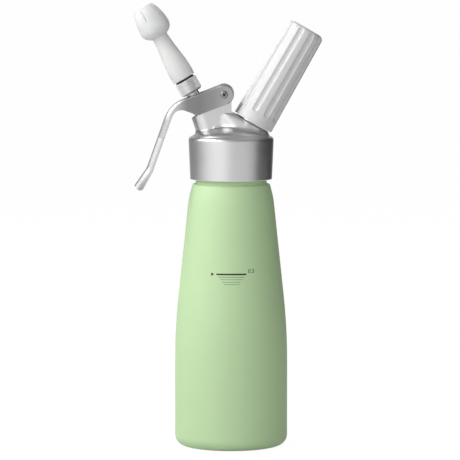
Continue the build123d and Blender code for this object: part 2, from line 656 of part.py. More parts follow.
def lever_side():
    """The lever seen from the side, up to the pin: cheeks, arch, handle and its turned-out end.

    Along the web it is drawn outside the channel, whose own face shows there.
    """
    outside = SHEET
    start, bend, kick, end = lever_line(-outside)
    _, _, inner_kick, _ = lever_line(HANDLE_DEPTH)
    _, _, _, inner_end = lever_line(KICK_DEPTH)
    arch_z = PIVOT_Z - CHEEK_ARCH_DROP
    arch = inner_kick + (arch_z - inner_kick.Y) * Vector(tan(radians(HANDLE_SLOPE)), 1)
    pin = Vector(PIVOT_X, PIVOT_Z)
    low = pin - Vector(CHEEK_LOW_REACH, CHEEK_LOW_DROP)
    to_pin = pin - low
    run = sqrt(to_pin.length**2 - LEVER_END_R**2)
    rise = atan2(to_pin.Y, to_pin.X) - asin(LEVER_END_R / to_pin.length)
    touch = low + run * Vector(cos(rise), sin(rise))
    corners = [start, bend, kick, end, inner_end, inner_kick, arch, low, touch, pin]
    roundings = [
        0,
        BEND_OUTER_R + outside,
        KICK_R - outside,
        HANDLE_END_R + outside,
        HANDLE_END_R,
        KICK_R,
        CHEEK_ARCH_R,
        CHEEK_LOW_R,
        0,
        0,
    ]
    outline = FilletPolyline(*[(c.X, c.Y) for c in corners], radius=roundings, close=True)
    return make_face(Plane.XZ * outline)


def lever_front():
    """The lever seen from the front, which rounds the handle's end."""
    _, bend, kick, end = lever_line(0)
    waist = (bend.Y + kick.Y) / 2
    top = PIVOT_Z + 2 * LEVER_END_R
    foot = end.Y - KICK_DEPTH
    wide = Pos(0, (waist + top) / 2) * Rectangle(4 * LEVER_OUTER_HALF, top - waist)
    slim = Pos(0, (foot + top) / 2) * RectangleRounded(2 * HANDLE_HALF, top - foot, HANDLE_PLAN_R)
    return Plane.YZ * (wide + slim)


def lever():
    """The pressed lever: a channel whose web runs over the boss and down the handle."""
    bar = channel(0, 0, KICK_DEPTH) & side_plate(lever_side(), 2 * LEVER_OUTER_HALF)
    disc = Cylinder(LEVER_END_R, 2 * LEVER_OUTER_HALF)
    disc = fillet(disc.edges().filter_by(GeomType.CIRCLE), WEB_EDGE_R)
    body = bar + PIVOT_AXIS.location * disc
    body -= channel(SHEET, KICK_DEPTH, 2 * KICK_DEPTH)
    behind = Pos(LEVER_END_R, 0, 0) * Box(2 * LEVER_END_R, 4 * LEVER_END_R, 2 * LEVER_INNER_HALF)
    body -= PIVOT_AXIS.location * Rot(0, 0, WEB_SLOPE) * behind
    slot = extrude(SlotOverall(SLOT_LENGTH, 2 * SLOT_HALF), amount=SLOT_LENGTH, both=True)
    body -= on_nozzle(Pos(SLOT_SHIFT, 0, WEB_ON_STEM) * slot)
    body -= PIVOT_AXIS.location * Cylinder(PIN_R + SEAT_GAP, THROUGH)
    return body & side_plate(lever_front(), 2 * THROUGH)


def lever_pivot_pin():
    """The barrel that the lever turns on, with its head behind the far cheek."""
    far = -LEVER_OUTER_HALF
    near = LEVER_OUTER_HALF - PIN_SETBACK
    pin = turned(
        (0, far - PIN_HEAD_THICK),
        (PIN_HEAD_R, far - PIN_HEAD_THICK, EDGE_R),
        (PIN_HEAD_R, far),
        (PIN_R, far),
        (PIN_R, near, FINE_EDGE_R),
        (0, near),
    )
    pin -= rod(SCREW_R + SEAT_GAP, LEVER_OUTER_HALF - SCREW_LENGTH - SHEET, near + CUT_PAST)
    return PIVOT_AXIS.location * pin


def lever_pivot_screw():
    """The cross-headed screw that holds the barrel from the near side."""
    top = LEVER_OUTER_HALF + SCREW_HEAD_THICK
    screw = turned(
        (0, LEVER_OUTER_HALF - SCREW_LENGTH),
        (SCREW_R, LEVER_OUTER_HALF - SCREW_LENGTH, FINE_EDGE_R),
        (SCREW_R, LEVER_OUTER_HALF),
        (SCREW_HEAD_R, LEVER_OUTER_HALF),
        (SCREW_HEAD_R, top, SCREW_DOME_R),
        (0, top),
    )
    for turn in (CROSS_TURN, CROSS_TURN + 90):
        bar = Box(CROSS_SPAN, CROSS_WIDTH, 2 * CROSS_DEPTH)
        screw -= Pos(0, 0, top) * Rot(0, 0, turn) * bar
    return PIVOT_AXIS.location * screw


# ---- charger side --------------------------------------------------------------------------------
def inlet_valve_body():
    """The threaded spigot for the holder, with the charger's socket and a nipple below."""
    nipple_r = CHECK_R - CHECK_WALL
    nipple_foot = SHANK_FOOT - CHECK_LENGTH + 2 * CHECK_WALL
    band_top = CHARGER_BOSS_TOP + SPIGOT_BAND
    runout_r = SPIGOT_THREAD_DEPTH / 3
    body = turned(
        (0, nipple_foot),
        (nipple_r - SEAT_GAP, nipple_foot),
        (nipple_r - SEAT_GAP, SHANK_FOOT),
        (SHANK_R, SHANK_FOOT),
        (SHANK_R, CHARGER_BOSS_TOP),
        (SPIGOT_R, CHARGER_BOSS_TOP),
        (SPIGOT_R, band_top, runout_r),
        (SPIGOT_ROOT_R, band_top, runout_r),
        (SPIGOT_ROOT_R, SPIGOT_TOP, SPIGOT_EDGE_R),
        (0, SPIGOT_TOP),
    )
    body -= rod(SOCKET_R, SOCKET_FLOOR, SPIGOT_TOP + CUT_PAST)
    body -= rod(PIERCE_R + SEAT_GAP, SOCKET_FLOOR - PIERCE_ROOT, SOCKET_FLOOR + CUT_PAST)
    body -= rod(GAS_BORE_R, nipple_foot - CUT_PAST, SOCKET_FLOOR)
    return on_charger(body)


def piercing_pin():
    """The hollow pin that opens the charger."""
    top = SOCKET_FLOOR + PIERCE_LENGTH
    pin = turned(
        (PIERCE_BORE_R, SOCKET_FLOOR - PIERCE_ROOT),
        (PIERCE_R, SOCKET_FLOOR - PIERCE_ROOT),
        (PIERCE_R, top - PIERCE_CONE),
        (PIERCE_BORE_R + SEAT_GAP, top),
        (PIERCE_BORE_R, top - SEAT_GAP),
    )
    return on_charger(pin)


def charger_seal():
    """The ring that the charger's neck presses on."""
    high = SOCKET_FLOOR + CHARGER_SEAL_THICK
    return on_charger(tube(CHARGER_SEAL_BORE_R, SOCKET_R - SEAT_GAP, SOCKET_FLOOR, high))


def check_valve():
    """The rubber cap on the nipple, which lets the gas in and holds the cream back."""
    foot = SHANK_FOOT - CHECK_LENGTH
    cap = turned(
        (0, foot),
        (CHECK_R, foot, CHECK_WALL),
        (CHECK_R, SHANK_FOOT),
        (CHECK_R - CHECK_WALL, SHANK_FOOT),
        (CHECK_R - CHECK_WALL, foot + CHECK_WALL),
        (0, foot + CHECK_WALL),
    )
    slit = Pos(0, 0, foot) * Box(2 * (CHECK_R - 2 * CHECK_WALL), CHECK_SLIT, 3 * CHECK_WALL)
    return on_charger(cap - slit)


def gas_charger():
    """The eight-gram steel charger, pierced at its neck."""
    shoulder = CHARGER_FOOT + CHARGER_NECK
    body_start = shoulder + CHARGER_R - CHARGER_NECK_R
    inner_r = CHARGER_R - CHARGER_WALL
    inner_neck_r = CHARGER_NECK_R - CHARGER_WALL
    steel = turned(
        (PIERCE_R + MOVING_GAP, CHARGER_FOOT),
        (CHARGER_NECK_R, CHARGER_FOOT, EDGE_R),
        (CHARGER_NECK_R, shoulder, CHARGER_SHOULDER_R / 2),
        (CHARGER_R, body_start, CHARGER_SHOULDER_R),
        (CHARGER_R, CHARGER_END, CHARGER_R - SEAT_GAP),
        (0, CHARGER_END),
        (0, CHARGER_END - CHARGER_WALL),
        (inner_r, CHARGER_END - CHARGER_WALL, inner_r - SEAT_GAP),
        (inner_r, body_start, CHARGER_SHOULDER_R / 2),
        (inner_neck_r, shoulder, CHARGER_SHOULDER_R / 2),
        (inner_neck_r, CHARGER_FOOT + PIERCE_LENGTH),
        (PIERCE_R + MOVING_GAP, CHARGER_FOOT + PIERCE_LENGTH),
    )
    return on_charger(steel)


def holder_insert():
    """The metal thread in the holder's mouth."""
    return on_charger(tube(INSERT_BORE_R, INSERT_R, INSERT_FOOT, INSERT_FOOT + INSERT_LENGTH))


def holder_radius(height):
    """The holder's outer radius at a height above its rim."""
    return HOLDER_RIM_R + (HOLDER_TOP_R - HOLDER_RIM_R) * height / HOLDER_LENGTH


def flute():
    """One finger flute: a round cutter that follows the taper and ends in a ball."""
    sink = sqrt(FLUTE_CUTTER_R**2 - (FLUTE_WIDTH / 2) ** 2)
    lean = degrees(atan2(HOLDER_RIM_R - HOLDER_TOP_R, HOLDER_LENGTH))
    cutter = rod(FLUTE_CUTTER_R, 0, HOLDER_LENGTH) + Sphere(FLUTE_CUTTER_R)
    foot = FLUTE_START + FLUTE_CUTTER_R
    return Pos(holder_radius(foot) + sink, 0, HOLDER_FOOT + foot) * Rot(0, -lean, 0) * cutter


def charger_holder():
    """The fluted holder: a closed tapered sleeve with a vent at its mouth."""
    bore_end = CHARGER_END + MOVING_GAP
    insert_end = INSERT_FOOT + INSERT_LENGTH
    body = turned(
        (INSERT_R + SEAT_GAP, HOLDER_FOOT),
        (HOLDER_RIM_R, HOLDER_FOOT, EDGE_R),
        (HOLDER_TOP_R, HOLDER_END, HOLDER_EDGE_R),
        (0, HOLDER_END),
        (0, bore_end),
        (HOLDER_BORE_R, bore_end, HOLDER_BORE_R - SEAT_GAP),
        (HOLDER_BORE_R, insert_end),
        (INSERT_R + SEAT_GAP, insert_end),
    )
    for turn in range(FLUTES):
        body -= Rot(0, 0, FLUTE_TURN + turn * 360 / FLUTES) * flute()
    vent = Pos(HOLDER_RIM_R, 0, HOLDER_FOOT) * Box(HOLDER_RIM_R, VENT_WIDTH, 2 * VENT_HEIGHT)
    return on_charger(body - Rot(0, 0, VENT_TURN) * vent)


PARTS = {
    "bottle": bottle,
    "head": head,
    "head_gasket": head_gasket,
    "valve_piston": valve_piston,
    "piston_seal": piston_seal,
    "stem_o_ring": stem_o_ring,
    "valve_spring": valve_spring,
    "spring_collar": spring_collar,
    "tip_adaptor": tip_adaptor,
    "tip_seal": tip_seal,
    "decorator_tip": decorator_tip,
    "lever": lever,
    "lever_pivot_pin": lever_pivot_pin,
    "lever_pivot_screw": lever_pivot_screw,
    "inlet_valve_body": inlet_valve_body,
    "piercing_pin": piercing_pin,
    "charger_seal": charger_seal,
    "check_valve": check_valve,
    "gas_charger": gas_charger,
    "holder_insert": holder_insert,
    "charger_holder": charger_holder,
}

for node, build in PARTS.items():
    export_step(build(), f"parts/{node}.step")
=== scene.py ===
"""A half-litre cream whipper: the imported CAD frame, dressed. Metres, +Z up, foot on the floor."""
import json
import logging
from collections.abc import Callable
from dataclasses import dataclass, field
from enum import Enum
from math import atan2, pi, radians

import bpy
from mathutils import Matrix, Vector

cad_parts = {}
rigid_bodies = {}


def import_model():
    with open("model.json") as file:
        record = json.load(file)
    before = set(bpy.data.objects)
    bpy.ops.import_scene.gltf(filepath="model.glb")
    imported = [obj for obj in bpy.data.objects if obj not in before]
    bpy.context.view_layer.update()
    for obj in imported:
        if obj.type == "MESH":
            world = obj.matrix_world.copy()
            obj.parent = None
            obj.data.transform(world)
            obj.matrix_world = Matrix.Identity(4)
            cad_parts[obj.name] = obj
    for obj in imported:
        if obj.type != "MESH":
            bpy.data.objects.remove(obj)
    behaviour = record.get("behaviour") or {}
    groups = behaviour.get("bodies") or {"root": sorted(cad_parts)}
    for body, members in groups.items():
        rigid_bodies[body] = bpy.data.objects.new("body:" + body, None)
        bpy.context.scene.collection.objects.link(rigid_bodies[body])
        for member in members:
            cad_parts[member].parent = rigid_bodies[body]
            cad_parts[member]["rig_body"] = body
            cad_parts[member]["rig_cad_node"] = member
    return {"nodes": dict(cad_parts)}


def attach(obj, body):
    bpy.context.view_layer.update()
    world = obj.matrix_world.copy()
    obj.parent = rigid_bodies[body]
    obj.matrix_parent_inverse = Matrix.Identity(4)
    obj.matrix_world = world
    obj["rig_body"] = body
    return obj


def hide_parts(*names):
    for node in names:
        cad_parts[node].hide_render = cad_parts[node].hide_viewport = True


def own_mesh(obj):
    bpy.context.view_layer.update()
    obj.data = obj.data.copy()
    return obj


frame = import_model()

LOG = logging.getLogger("cream_whipper")
MM = 0.001
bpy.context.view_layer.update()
WELD = 0.001 * MM           # points nearer than this are one
FINE_STEPS = 128            # round the forms that show
ROOM_STEPS = 96             # round the forms that only cut or glow


# ---- node and mesh helpers -------------------------------------------------------------------
def linear(hex_colour: str) -> tuple[float, float, float, float]:
    """Turns an sRGB hex colour to linear.

    Args:
        hex_colour: a hash and six hex digits.

    Returns:
        The linear colour, opaque.
    """
    channels = [int(hex_colour[i:i + 2], 16) / 255 for i in (1, 3, 5)]
    return (*[c / 12.92 if c <= 0.04045 else ((c + 0.055) / 1.055) ** 2.4 for c in channels], 1.0)


def empty_tree(owner: bpy.types.Material | bpy.types.World) -> bpy.types.NodeTree:
    """Turns nodes on and clears them.

    Args:
        owner: the material or the world.

    Returns:
        Its empty node tree.
    """
    owner.use_nodes = True
    owner.node_tree.nodes.clear()
    return owner.node_tree


def add_node(
    tree: bpy.types.NodeTree,
    kind: str,
    settings: dict[str, object] | None = None,
    inputs: dict[str | int, object] | None = None,
    stops: list[tuple[float, float]] | None = None,
) -> bpy.types.Node:
    """Adds a node with its settings and links.

    Args:
        tree: the node tree.
        kind: the node's type name.
        settings: attributes of the node.
        inputs: by name or index, a value, a socket to link, or a node whose first output is linked.
        stops: (position, grey level) pairs in order, where the node holds a colour ramp.

    Returns:
        The new node.
    """
    node = tree.nodes.new(kind)
    for name, value in (settings or {}).items():
        setattr(node, name, value)
    for key, value in (inputs or {}).items():
        if isinstance(value, bpy.types.Node):
            value = value.outputs[0]
        if isinstance(value, bpy.types.NodeSocket):
            tree.links.new(value, node.inputs[key])
        else:
            node.inputs[key].default_value = value
    if stops:
        elements = node.color_ramp.elements
        while len(elements) < len(stops):
            elements.new(0.5)
        for element, (position, level) in zip(elements, stops):
            element.position = position
            element.color = (level, level, level, 1.0)
    return node


def deselect_all() -> None:
    """Leaves nothing selected."""
    bpy.ops.object.select_all(action="DESELECT")


def name_active(name: str) -> bpy.types.Object:
    """Names the active object and its mesh.

    Args:
        name: the new name.

    Returns:
        The active object.
    """
    piece = bpy.context.active_object
    piece.name = name
    piece.data.name = name
    return piece


def select_only(piece: bpy.types.Object) -> None:
    """Selects one object and makes it active.

    Args:
        piece: the object.
    """
    deselect_all()
    piece.select_set(True)
    bpy.context.view_layer.objects.active = piece


def select_points(piece: bpy.types.Object, wanted: Callable[[Vector], bool]) -> None:
    """Selects a mesh's points by their place and leaves the piece in edit mode.

    Args:
        piece: the active object, in object mode.
        wanted: tells from a point's place whether it is selected.
    """
    bpy.ops.object.mode_set(mode="EDIT")
    bpy.ops.mesh.select_all(action="DESELECT")
    bpy.ops.object.mode_set(mode="OBJECT")
    for vertex in piece.data.vertices:
        vertex.select = wanted(vertex.co)
    bpy.ops.object.mode_set(mode="EDIT")


def apply_place(piece: bpy.types.Object, matrix: Matrix) -> None:
    """Puts a piece at a place and applies it, so that the place is in its mesh.

    Args:
        piece: the object, made at the origin.
        matrix: where it goes.
    """
    select_only(piece)
    piece.matrix_world = matrix
    bpy.ops.object.transform_apply(location=True, rotation=True, scale=True)


def apply_modifiers(piece: bpy.types.Object) -> None:
    """Applies a piece's modifiers in order.

    Args:
        piece: the object.
    """
    select_only(piece)
    for modifier in list(piece.modifiers):
        bpy.ops.object.modifier_apply(modifier=modifier.name)


def close_and_smooth(piece: bpy.types.Object, angle: float) -> None:
    """Merges doubles, points the faces outwards and shades smooth below an angle.

    Args:
        piece: the object.
        angle: degrees above which an edge stays sharp.
    """
    select_only(piece)
    bpy.ops.object.mode_set(mode="EDIT")
    bpy.ops.mesh.select_all(action="SELECT")
    bpy.ops.mesh.remove_doubles(threshold=WELD)
    bpy.ops.mesh.normals_make_consistent(inside=False)
    bpy.ops.object.mode_set(mode="OBJECT")
    bpy.ops.object.shade_smooth_by_angle(angle=radians(angle))


def lathe(name: str, profile: list[tuple[float, float]], steps: int) -> bpy.types.Object:
    """Spins a closed profile round Z.

    Args:
        name: the piece's name.
        profile: (radius, height) corners, in order.
        steps: number of steps round.

    Returns:
        The spun object, at the origin.
    """
    deselect_all()
    bpy.ops.mesh.primitive_plane_add(size=MM, location=(0, 0, 0))
    piece = name_active(name)
    bpy.ops.object.mode_set(mode="EDIT")
    bpy.ops.mesh.merge(type="CENTER")
    bpy.ops.transform.translate(value=(profile[0][0], 0, profile[0][1]))
    for (r0, z0), (r1, z1) in zip(profile, profile[1:] + profile[:1]):
        bpy.ops.mesh.extrude_region_move(TRANSFORM_OT_translate={"value": (r1 - r0, 0, z1 - z0)})
    bpy.ops.mesh.select_all(action="SELECT")
    bpy.ops.mesh.spin(steps=steps, angle=2 * pi, center=(0, 0, 0), axis=(0, 0, 1))
    bpy.ops.object.mode_set(mode="OBJECT")
    return piece


def copy_of_node(node: str, name: str) -> bpy.types.Object:
    """Copies a CAD node's mesh into a new piece and merges its loose triangles.

    Args:
        node: the CAD node.
        name: the new piece's name.

    Returns:
        The copy, which rides on nothing yet.
    """
    select_only(frame["nodes"][node])
    bpy.ops.object.duplicate()
    piece = name_active(name)
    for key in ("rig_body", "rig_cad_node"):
        del piece[key]
    bpy.ops.object.parent_clear(type="CLEAR_KEEP_TRANSFORM")
    bpy.ops.mesh.customdata_custom_splitnormals_clear()
    bpy.ops.object.mode_set(mode="EDIT")
    bpy.ops.mesh.select_all(action="SELECT")
    bpy.ops.mesh.remove_doubles(threshold=WELD)
    bpy.ops.mesh.dissolve_limited(angle_limit=radians(0.5))
    bpy.ops.object.mode_set(mode="OBJECT")
    return piece


# ---- finishes --------------------------------------------------------------------------------
class Grain(Enum):
    """How a surface was made, and so what its fine relief is."""

    PEEL = "sprayed or printed, with a soft orange peel"
    TURNED = "turned, fine rings round Z"
    TUMBLED = "tumbled sheet, short scratches every way"
    DRAWN = "drawn or polished, nearly plain"
    MOULDED = "moulded against an eroded steel tool"


# How far a grain is drawn out along X, Y and Z: under 1 is longer.
GRAIN_STRETCH = {Grain.TURNED: (0.02, 0.02, 1.0), Grain.TUMBLED: (0.25, 1.0, 1.0)}
CLOUD_SIZE = 14 * MM        # handling leaves a surface uneven over about a finger's width
CLOUD_RANGE = (0.3, 0.7)    # nearly all of the noise lies between these


@dataclass(frozen=True)
class Finish:
    """One real material and the process that made its surface.

    Orange peel is as coarse as the real one. Turned, tumbled and moulded grains are 0.05 to 0.1 mm
    on the real pieces, and are drawn at 0.3 to 0.5 mm, which is about the finest that shows.
    """

    name: str
    colour: str
    roughness: float
    grain: Grain
    grain_size: float = 0.4 * MM
    grain_depth: float = 0.01 * MM
    metallic: float = 0.0
    ior: float = 1.5
    roughness_spread: float = 0.06
    colour_spread: float = 0.03
    subsurface: float = 0.0
    subsurface_reach: float = 1.5 * MM
    sheen: float = 0.0

    def grain_height(
        self, tree: bpy.types.NodeTree, place: bpy.types.NodeSocket
    ) -> bpy.types.NodeSocket:
        """Makes the relief of the surface.

        Args:
            tree: the material's node tree.
            place: Object coordinates.

        Returns:
            A height from 0 to 1.
        """
        stretch = GRAIN_STRETCH.get(self.grain, (1.0, 1.0, 1.0))
        stretched = add_node(tree, "ShaderNodeMapping", inputs={"Vector": place, "Scale": stretch})
        noise = add_node(
            tree,
            "ShaderNodeTexNoise",
            inputs={"Vector": stretched, "Scale": 1 / self.grain_size, "Detail": 3.0, "Roughness": 0.6},
        )
        return noise.outputs["Fac"]

    def spread(
        self, tree: bpy.types.NodeTree, place: bpy.types.NodeSocket, low: float, high: float
    ) -> bpy.types.NodeSocket:
        """Makes a slow variation over the surface.

        Args:
            tree: the material's node tree.
            place: Object coordinates.
            low: the least value.
            high: the greatest value.

        Returns:
            The varying value.
        """
        cloud = add_node(
            tree, "ShaderNodeTexNoise", inputs={"Vector": place, "Scale": 1 / CLOUD_SIZE, "Detail": 4.0}
        )
        ranged = add_node(
            tree,
            "ShaderNodeMapRange",
            inputs={
                "Value": cloud,
                "From Min": CLOUD_RANGE[0],
                "From Max": CLOUD_RANGE[1],
                "To Min": low,
                "To Max": high,
            },
        )
        return ranged.outputs["Result"]

    def base_colour(
        self, tree: bpy.types.NodeTree, place: bpy.types.NodeSocket
    ) -> bpy.types.NodeSocket:
        """Makes the colour with its small variation.

        Args:
            tree: the material's node tree.
            place: Object coordinates.

        Returns:
            The colour.
        """
        value = self.spread(tree, place, 1 - self.colour_spread, 1.0)
        shade = add_node(
            tree, "ShaderNodeHueSaturation", inputs={"Color": linear(self.colour), "Value": value}
        )
        return shade.outputs["Color"]

    def build(self) -> bpy.types.Material:
        """Makes the material.

        Returns:
            The Blender material, named for the real one.
        """
        material = bpy.data.materials.new(self.name)
        tree = empty_tree(material)
        place = add_node(tree, "ShaderNodeTexCoord").outputs["Object"]
        height = self.grain_height(tree, place)
        bump = add_node(
            tree,
            "ShaderNodeBump",
            inputs={"Strength": 1.0, "Distance": self.grain_depth, "Height": height},
        )
        low, high = self.roughness - self.roughness_spread, self.roughness + self.roughness_spread
        shader = add_node(
            tree,
            "ShaderNodeBsdfPrincipled",
            inputs={
                "Base Color": self.base_colour(tree, place),
                "Metallic": self.metallic,
                "Roughness": self.spread(tree, place, low, high),
                "IOR": self.ior,
                "Normal": bump,
                "Subsurface Weight": self.subsurface,
                "Subsurface Scale": self.subsurface_reach,
                "Subsurface Radius": (1.0, 0.9, 0.8),
                "Sheen Weight": self.sheen,
            },
        )
        add_node(tree, "ShaderNodeOutputMaterial", inputs={"Surface": shader})
        return material


@dataclass(frozen=True)
class CoatedBottleFinish(Finish):
    """A sprayed matt coat outside, and bare drawn aluminium on the neck and inside."""

    bare_colour: str = "#C9CBCC"
    bare_roughness: float = 0.34
    coat_top: float = 190.6 * MM
    foot_top: float = 4.5 * MM
    floor_slope: float = 0.6

    def bare_mask(
        self, tree: bpy.types.NodeTree, texture: bpy.types.Node
    ) -> bpy.types.NodeSocket:
        """Makes 1 where the metal is bare: above the coat's edge and on the inner wall and floor.

        Args:
            tree: the material's node tree.
            texture: its Texture Coordinate node.

        Returns:
            The mask.
        """
        place, normal = texture.outputs["Object"], texture.outputs["Normal"]
        height = add_node(tree, "ShaderNodeSeparateXYZ", inputs={0: place}).outputs["Z"]
        upward = add_node(tree, "ShaderNodeSeparateXYZ", inputs={0: normal}).outputs["Z"]
        level = add_node(
            tree, "ShaderNodeVectorMath", {"operation": "MULTIPLY"}, {0: place, 1: (1.0, 1.0, 0.0)}
        )
        outward = add_node(
            tree, "ShaderNodeVectorMath", {"operation": "DOT_PRODUCT"}, {0: level, 1: normal}
        ).outputs["Value"]
        tests = (
            ("LESS_THAN", outward, 0.0),
            ("GREATER_THAN", height, self.foot_top),
            ("GREATER_THAN", upward, self.floor_slope),
            ("LESS_THAN", height, self.coat_top / 2),
            ("GREATER_THAN", height, self.coat_top),
        )
        faces_in, above_foot, faces_up, low_down, neck = [
            add_node(tree, "ShaderNodeMath", {"operation": test}, {0: value, 1: limit})
            for test, value, limit in tests
        ]
        wall = add_node(tree, "ShaderNodeMath", {"operation": "MULTIPLY"}, {0: faces_in, 1: above_foot})
        floor = add_node(tree, "ShaderNodeMath", {"operation": "MULTIPLY"}, {0: faces_up, 1: low_down})
        inside = add_node(tree, "ShaderNodeMath", {"operation": "MAXIMUM"}, {0: floor, 1: wall})
        bare = add_node(tree, "ShaderNodeMath", {"operation": "MAXIMUM"}, {0: inside, 1: neck})
        return bare.outputs["Value"]

    def build(self) -> bpy.types.Material:
        """Makes the material: the coat over the bare metal.

        Returns:
            The Blender material.
        """
        material = super().build()
        tree = material.node_tree
        output = next(n for n in tree.nodes if n.bl_idname == "ShaderNodeOutputMaterial")
        coat = output.inputs["Surface"].links[0].from_socket
        mask = self.bare_mask(tree, add_node(tree, "ShaderNodeTexCoord"))
        colour = linear(self.bare_colour)
        metal = add_node(
            tree,
            "ShaderNodeBsdfPrincipled",
            inputs={"Base Color": colour, "Metallic": 1.0, "Roughness": self.bare_roughness},
        )
        either = add_node(tree, "ShaderNodeMixShader", inputs={0: mask, 1: coat, 2: metal})
        tree.links.new(either.outputs["Shader"], output.inputs["Surface"])
        return material


@dataclass(frozen=True)
class LeverPaintedLightFinish(Finish):
    """Pressed sheet, with painted shade on the cheeks and the handle's end, and a painted highlight along the
    handle.
    """

    # (Object X, colour) stops of painted light and shade, from the handle's end to where the sheet has its
    # own colour: darker at the end and on the cheeks, lighter along the handle.
    painted_light_stops: tuple[tuple[float, str], ...] = (
        (-64 * MM, "#A8A8A9"), (-58 * MM, "#C4C4C5"), (-39 * MM, "#C8C8C9"), (-31 * MM, "#8E8E90"),
        (-22 * MM, "#8A8A8C"), (-12 * MM, "#9B9B9D"),
    )
    plain_from: float = -3 * MM

    def base_colour(
        self, tree: bpy.types.NodeTree, place: bpy.types.NodeSocket
    ) -> bpy.types.NodeSocket:
        """Makes the sheet's colour along the lever, with painted light and shade in it.

        Args:
            tree: the material's node tree.
            place: Object coordinates.

        Returns:
            The colour.
        """
        start, end = self.painted_light_stops[0][0], self.plain_from
        along = add_node(tree, "ShaderNodeSeparateXYZ", inputs={0: place}).outputs["X"]
        share = add_node(
            tree, "ShaderNodeMapRange", inputs={"Value": along, "From Min": start, "From Max": end}
        )
        painted_light_stops = (*self.painted_light_stops, (end, self.colour))
        stops = [((x - start) / (end - start), linear(colour)[0]) for x, colour in painted_light_stops]
        # Painted light and shade: the ramp darkens the end and the cheeks and lightens the handle.
        ramp = add_node(tree, "ShaderNodeValToRGB", inputs={"Fac": share}, stops=stops)
        return ramp.outputs["Color"]


@dataclass(frozen=True)
class ScrewFinish(Finish):
    """A screw's steel, with painted shade darkening its cross recess, where the light doesn't reach."""

    # Painted shade: the colour that darkens the cross recess.
    painted_recess_shade: str = "#2E2E2E"
    face: tuple[float, float, float] = (-4.91 * MM, -12.7 * MM, 250.2 * MM)
    recess_half: float = 1.75 * MM
    recess_start: float = 0.05 * MM

    def base_colour(
        self, tree: bpy.types.NodeTree, place: bpy.types.NodeSocket
    ) -> bpy.types.NodeSocket:
        """Makes the steel's colour, with painted shade below the face and near the axis.

        Args:
            tree: the material's node tree.
            place: Object coordinates.

        Returns:
            The colour.
        """
        offset = add_node(
            tree, "ShaderNodeVectorMath", {"operation": "SUBTRACT"}, {0: place, 1: self.face}
        )
        depth = add_node(tree, "ShaderNodeSeparateXYZ", inputs={0: offset}).outputs["Y"]
        aside = add_node(
            tree, "ShaderNodeVectorMath", {"operation": "MULTIPLY"}, {0: offset, 1: (1.0, 0.0, 1.0)}
        )
        reach = add_node(tree, "ShaderNodeVectorMath", {"operation": "LENGTH"}, {0: aside})
        near_axis = add_node(
            tree,
            "ShaderNodeMath",
            {"operation": "LESS_THAN"},
            {0: reach.outputs["Value"], 1: self.recess_half},
        )
        below_face = add_node(
            tree, "ShaderNodeMath", {"operation": "GREATER_THAN"}, {0: depth, 1: self.recess_start}
        )
        in_recess = add_node(
            tree, "ShaderNodeMath", {"operation": "MULTIPLY"}, {0: near_axis, 1: below_face}
        )
        # Painted shade: the recess is mixed towards a dark colour.
        steel, dark = super().base_colour(tree, place), linear(self.painted_recess_shade)
        colour = add_node(tree, "ShaderNodeMixRGB", inputs={0: in_recess, 1: steel, 2: dark})
        return colour.outputs["Color"]


# Drawn aluminium, sprayed with a soft-touch lacquer: matt, with a faint peel and hardly any gloss.
BOTTLE_COAT = CoatedBottleFinish(
    "aluminium_drawn_matt_lacquered", "#C6E5B0", 0.56, Grain.PEEL, grain_size=0.7 * MM,
    grain_depth=0.01 * MM, ior=1.7, roughness_spread=0.04, colour_spread=0.02,
)
# Cast aluminium, turned and left satin: soft reflections with edges, and faint level lines.
CAST_HEAD = Finish(
    "aluminium_cast_turned_satin", "#D4D4D5", 0.32, Grain.TURNED, grain_size=0.45 * MM,
    grain_depth=0.005 * MM, metallic=1.0, roughness_spread=0.03,
)
# Stainless sheet, pressed and tumbled, with painted shade on the cheeks and a painted highlight along the
# handle.
LEVER_SHEET = LeverPaintedLightFinish(
    "stainless_steel_pressed_tumbled", "#B2B2B4", 0.4, Grain.TUMBLED, grain_size=0.4 * MM,
    grain_depth=0.0006 * MM, metallic=1.0, roughness_spread=0.05,
)
# Turned stainless: fine rings and a bright surface.
TURNED_STEEL = Finish(
    "stainless_steel_turned", "#C4C4C2", 0.22, Grain.TURNED, grain_size=0.3 * MM,
    grain_depth=0.004 * MM, metallic=1.0, roughness_spread=0.03,
)
# Cold-formed stainless: duller than turned work, with painted shade in the recess.
SCREW_STEEL = ScrewFinish(
    "stainless_steel_cold_formed", "#9A9A9A", 0.3, Grain.DRAWN, metallic=1.0, roughness_spread=0.03
)
# Brass, turned and nickel plated: pale and satin, with faint rings.
NICKEL = Finish(
    "brass_nickel_plated", "#E2E2E2", 0.36, Grain.TURNED, grain_size=0.3 * MM,
    grain_depth=0.004 * MM, metallic=1.0, roughness_spread=0.04,
)
# Stainless spring wire, drawn: bright and plain.
SPRING_WIRE = Finish(
    "stainless_spring_wire_drawn", "#A9A9A8", 0.25, Grain.DRAWN, metallic=1.0, roughness_spread=0.03
)
# Polypropylene, moulded in an eroded tool: matt, with light sinking well in.
WHITE_MOULDED = Finish(
    "polypropylene_moulded_white", "#EAEAE9", 0.46, Grain.MOULDED, grain_size=0.3 * MM,
    grain_depth=0.004 * MM, ior=1.49, subsurface=0.85, subsurface_reach=4 * MM, colour_spread=0.01,
)
# ABS in a finer tool: a satin gloss along the flutes.
HOLDER_MOULDED = Finish(
    "abs_moulded_white", "#E4E4E4", 0.3, Grain.MOULDED, grain_size=0.4 * MM,
    grain_depth=0.003 * MM, ior=1.53, subsurface=0.1, colour_spread=0.01,
)
# Nitrile rubber, moulded: dead black with a dull bloom.
BLACK_RUBBER = Finish(
    "nitrile_rubber_moulded", "#2C2C2D", 0.68, Grain.MOULDED, grain_size=0.4 * MM, sheen=0.1
)
